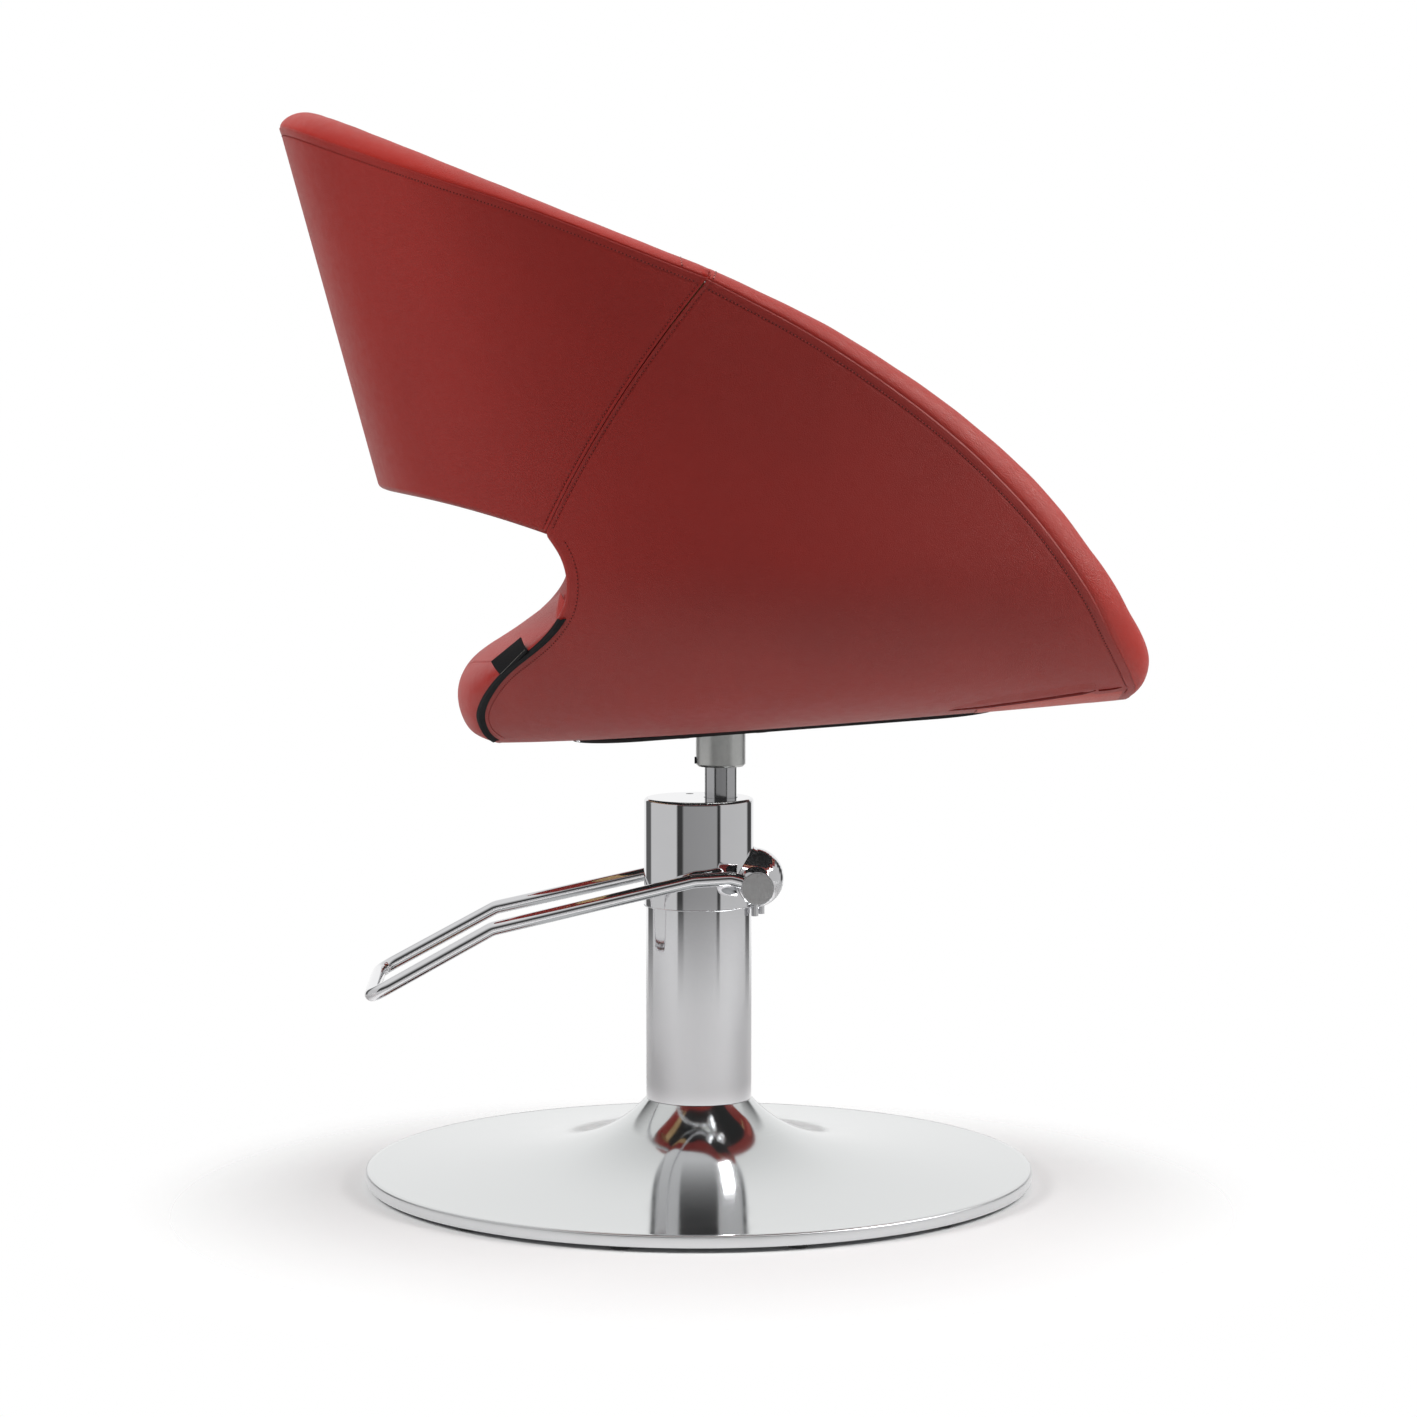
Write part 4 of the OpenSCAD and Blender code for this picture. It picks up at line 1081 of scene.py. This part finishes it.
# sections of the strips along them: height above the line, depth
FOLD_PROFILE = ((-0.2, 1.2), (-0.6, -0.4), (-0.4, -1.3), (0.3, -1.7), (1.4, -1.7), (2.8, -1.3), (4.8, -0.5),
                (8, 0.35))
PLEAT_PROFILE = ((2.6, 0.3), (2.4, -1.75), (0.2, -1.5), (-1.5, -0.9), (-1.9, 0.3))
LINE_PROFILE = ((0.45, 0.3), (0.35, -0.7), (-0.35, -0.7), (-0.45, 0.3))
TURN_DEPTHS = (0.4, -0.45, -0.55, -0.6, -0.6, -0.55, 0.3)


def fold_strip(name, path, profile, mat, taper):
    """A strip along a line on both sides; taper is the share of its length over which each end thins out."""
    x, z = evenly(path, 90).T
    share = np.linspace(0, 1, len(x))
    size = np.minimum(1, share / taper[0]) ** 0.6 * np.minimum(1, (1 - share) / taper[1]) ** 0.6
    size = np.maximum(size, 0.02)
    pair(name, np.stack([side_pt(x, z + h * size, mix(0.35, t, size)) for h, t in profile], 1), mat)


def front_turn_sheen():
    """The skin below the crease, turned towards the floor, in a lighter leather that paints the sheen of the
    white floor on it.
    """
    x = np.linspace(222, 341, 50)
    crease = np.interp(x, *np.concatenate([FOLD[:-1], FOLD_LINE]).T) - 3.2
    heights = np.linspace(0, 1, len(TURN_DEPTHS))
    rows = [side_pt(x, mix(under(x) + 0.4, crease, h), t) for h, t in zip(heights, TURN_DEPTHS)]
    pair("front_turn_sheen", np.stack(rows, 1), "turned")


def front_apron():
    """Leather turned under the front edge, from the band to the bottom cover."""
    X, Y = np.meshgrid(np.linspace(248, 351, 24), np.linspace(-1, 1, 61), indexing="ij")
    z = under(X) - 0.9 + 1.6 * np.clip((X - 322) / 24, 0, 1) ** 2 + 1.0 * np.abs(Y) ** 8
    grid = np.stack([X, Y * (UNDER_HALF * toe(X) + 3), z], -1)
    surface("front_apron", grid, "leather")


def cover_stud():
    """A small domed stud at the rear of the bottom cover."""
    dome = [[2.6 * cos(t), 2.2 * sin(t)] for t in np.linspace(QUARTER, 0, 9)]
    stud = lathe("cover_stud", dome, 24, "chrome", slot="zinc_steel")
    place = Matrix.Translation((-0.104, -0.1, 0.3955))
    stud.data.transform(place @ Matrix.Rotation(radians(75), 4, "X"))


fold_strip("front_fold", FOLD, FOLD_PROFILE, "leather", (0.3, 0.04))
# the pleat and the fold line are dark strips: painted shade in the crease under the front fold
fold_strip("front_pleat_shade", FOLD - np.array([0, 1.8]), PLEAT_PROFILE, "crease_shade", (0.3, 0.1))
fold_strip("front_fold_line_shade", FOLD_LINE, LINE_PROFILE, "crease_shade", (0.02, 0.3))
front_turn_sheen()
front_apron()
cover_stud()


# ---------- pedal and base ----------

PIVOT_X, PIVOT_Z, ROD_R, ROD_BEND = 47.8, 265.4, 6.0, 16
HUB_Y, FOOT_X, FOOT_Y, FOOT_Z = 59.0, 281, 75.0, 174.5
PEDAL_SIDE = np.array([[PIVOT_X - 7.5, HUB_Y, PIVOT_Z + 2.6], [26, HUB_Y - 0.4, PIVOT_Z + 6.4],
                       [-6, HUB_Y - 0.2, PIVOT_Z + 4.6], [-178, HUB_Y + 9.4, 231], [-FOOT_X, FOOT_Y, FOOT_Z]])
SLEEVE_R, SLEEVE_Z, SLEEVE_RING = 47.6, 242.4, 0.5
BASE_R, PAD_H, RIM_H, FOOT_TOP = 290.0, 4.0, 10.0, 73.0
NECK_R, NECK_IN, NECK_FLARE, CONE_H, RIM_ROUND = 46, 43.2, 38, 19, 1.5
BASE_STEPS = 256
RIM_TOP = PAD_H + RIM_H


def trumpet(r):
    """Height of the polished top of the base."""
    cone = CONE_H * np.maximum(0, (BASE_R - r) / (BASE_R - NECK_R)) ** 1.2
    return RIM_TOP + cone + (FOOT_TOP - RIM_TOP - CONE_H) * np.exp(-(r - NECK_R) / NECK_FLARE)


def sleeve_edge():
    """The rounded lower edge of the upper sleeve."""
    turn = circle(180)
    ring = np.stack([SLEEVE_R * np.cos(turn), SLEEVE_R * np.sin(turn), np.full(len(turn), SLEEVE_Z)], 1)
    sweep("sleeve_edge", ring, SLEEVE_RING, 12, closed=True, body="base")


def base():
    """The polished disc and its satin rim."""
    r = NECK_R + (BASE_R - RIM_ROUND - NECK_R) * np.linspace(0, 1, 90) ** 1.6
    neck = [[NECK_IN, FOOT_TOP - 2], [NECK_IN, FOOT_TOP]]
    top = np.concatenate([neck, np.stack([r, trumpet(r)], 1)])
    edge = [[BASE_R - RIM_ROUND * (1 - sin(a)), RIM_TOP - RIM_ROUND * (1 - cos(a))]
            for a in np.linspace(0.2, QUARTER, 6)]
    foot = [[BASE_R, PAD_H + 0.8], [BASE_R - 0.6, PAD_H], [BASE_R - 3, PAD_H]]
    lathe("base_disc", np.concatenate([top, edge[:1]]), BASE_STEPS, "disc", body="base", slot="chrome",
          nodes=["base_cover"])
    lathe("base_rim", edge + foot, BASE_STEPS, "satin", body="base", slot="chrome")


sweep("pedal_loop", smooth_path([*PEDAL_SIDE, *mirrored(PEDAL_SIDE[::-1])], ROD_BEND), ROD_R, 32,
      body="pedal", nodes=["pedal_rods"])
sleeve_edge()
base()


# ---------- studio ----------

FLOOR_HALF = 2.4
FLOOR_TONE, FLOOR_TONE_IN_METAL = grey(0.8), grey(0.56)
# the light that the white floor gives near the chair: ray, radii between which it ends, strength
FLOOR_GLOWS = (("Is Glossy Ray", 0.3, 0.52, 0.55), ("Is Diffuse Ray", 0.7, 1.3, 0.35))
# radii between which the floor gives way to the white room, round a shifted middle; for rays that
# don't come from the camera, a radius counts by this share
FADE_START, FADE_END, FADE_SHIFT, FADE_SHARE = 0.25, 0.56, (0.0, 0.09, 0), 0.295
SKY, DIFFUSE_ROOM, WHITE = grey(0.83), grey(0.14), grey(1)
# greys of the room round the chair, by the angle from the camera's side in degrees
ROOM_LEFT = [(-180, 1.0), (-150, 1.0), (-147, 0.12), (-124, 0.12), (-120, 0.64), (-50, 0.64), (-47, 0.05)]
ROOM_RIGHT = [(46, 0.58), (118, 0.6), (124, 0.06), (140, 0.06), (146, 1.0), (180, 1.0)]
LOW_ROOM = ROOM_LEFT + [(-37, 0.05), (-33, 0.31), (36, 0.35), (38.5, 0.04), (43, 0.04)] + ROOM_RIGHT
HIGH_ROOM = ROOM_LEFT + [(42, 0.05)] + ROOM_RIGHT


def floor_material():
    mat = bpy.data.materials.new("floor_white")
    mat.cycles.emission_sampling = "NONE"
    g = Graph(mat, "OutputMaterial")
    ray = g.add("LightPath").outputs
    place = g.add("TexCoord").outputs["Object"]
    diffuse = g.add("BsdfDiffuse")
    g.link(g.mix(ray["Is Glossy Ray"], FLOOR_TONE, FLOOR_TONE_IN_METAL), diffuse.inputs["Color"])
    radius = g.length(place)
    strengths = [g.math("MULTIPLY", g.grade(radius, start, end, strength, 0.0, "SMOOTHSTEP"), ray[name])
                 for name, start, end, strength in FLOOR_GLOWS]
    glow = g.add("Emission")
    g.link(g.math("ADD", *strengths), glow.inputs["Strength"])
    lit = g.add("AddShader")
    g.link(diffuse.outputs[0], lit.inputs[0])
    g.link(glow.outputs[0], lit.inputs[1])
    shift = g.add("VectorMath", operation="ADD")
    g.link(place, shift.inputs[0])
    shift.inputs[1].default_value = FADE_SHIFT
    share = g.math("MULTIPLY_ADD", ray["Is Camera Ray"], 1 - FADE_SHARE, FADE_SHARE)
    reach = g.math("MULTIPLY", g.length(shift.outputs[0]), share)
    edge = g.add("MixShader")
    g.link(g.grade(reach, FADE_START, FADE_END, kind="SMOOTHSTEP"), edge.inputs["Fac"])
    g.link(lit.outputs[0], edge.inputs[1])
    g.link(g.add("BsdfTransparent").outputs[0], edge.inputs[2])
    g.link(edge.outputs[0], g.out.inputs["Surface"])
    return mat


def studio_floor():
    mesh = bpy.data.meshes.new("floor")
    corners = [(-1, -1, 0), (1, -1, 0), (1, 1, 0), (-1, 1, 0)]
    mesh.from_pydata([tuple(FLOOR_HALF * c for c in corner) for corner in corners], [], [(0, 1, 2, 3)])
    mesh.materials.append(floor_material())
    floor = bpy.data.objects.new("floor", mesh)
    scene.collection.objects.link(floor)


def studio_world():
    world = bpy.data.worlds.new("studio")
    scene.world = world
    g = Graph(world, "OutputWorld")
    x, y, height = g.parts(g.add("TexCoord").outputs["Generated"])
    azimuth = g.math("ARCTAN2", x, g.math("MULTIPLY", y, -1))
    turn = g.math("MULTIPLY_ADD", azimuth, 1 / (2 * pi), 0.5)
    low, high = (g.ramp(turn, [(degrees / 360 + 0.5, value) for degrees, value in stops])
                 for stops in (LOW_ROOM, HIGH_ROOM))
    room = g.mix(g.grade(height, -0.01, 0.05), low, high)
    room = g.mix(g.grade(height, 0.35, 0.75), room, SKY)
    ray = g.add("LightPath").outputs
    room = g.mix(ray["Is Diffuse Ray"], room, DIFFUSE_ROOM)
    room = g.mix(ray["Is Camera Ray"], room, WHITE)
    shade = g.add("Background")
    g.link(room, shade.inputs["Color"])
    g.link(shade.outputs[0], g.out.inputs["Surface"])


def softbox(name, place, aim, size, power, mirrored_in_metal=False):
    light = bpy.data.lights.new(name, "AREA")
    light.shape = "RECTANGLE"
    light.size, light.size_y = size
    light.energy = power
    obj = bpy.data.objects.new(name, light)
    obj.location = place
    obj.rotation_euler = (Vector(aim) - Vector(place)).to_track_quat("-Z", "Y").to_euler()
    obj.visible_glossy = mirrored_in_metal
    scene.collection.objects.link(obj)


studio_floor()
studio_world()
softbox("top_light", (0.2, 0.4, 2.9), (0.0, 0.0, 0.5), (2.4, 1.8), 16)
softbox("left_light", (-2.4, -0.6, 2.2), (0, 0, 0.6), (1.6, 1.6), 76)
softbox("right_light", (2.4, -0.6, 2.2), (0, 0, 0.6), (1.6, 1.6), 86, True)
softbox("front_light", (0.0, -3.6, 2.0), (0, 0, 0.5), (2.4, 1.4), 2)
softbox("low_light", (0.3, -2.2, 0.12), (0.1, 0, 0.45), (3.0, 0.2), 3)
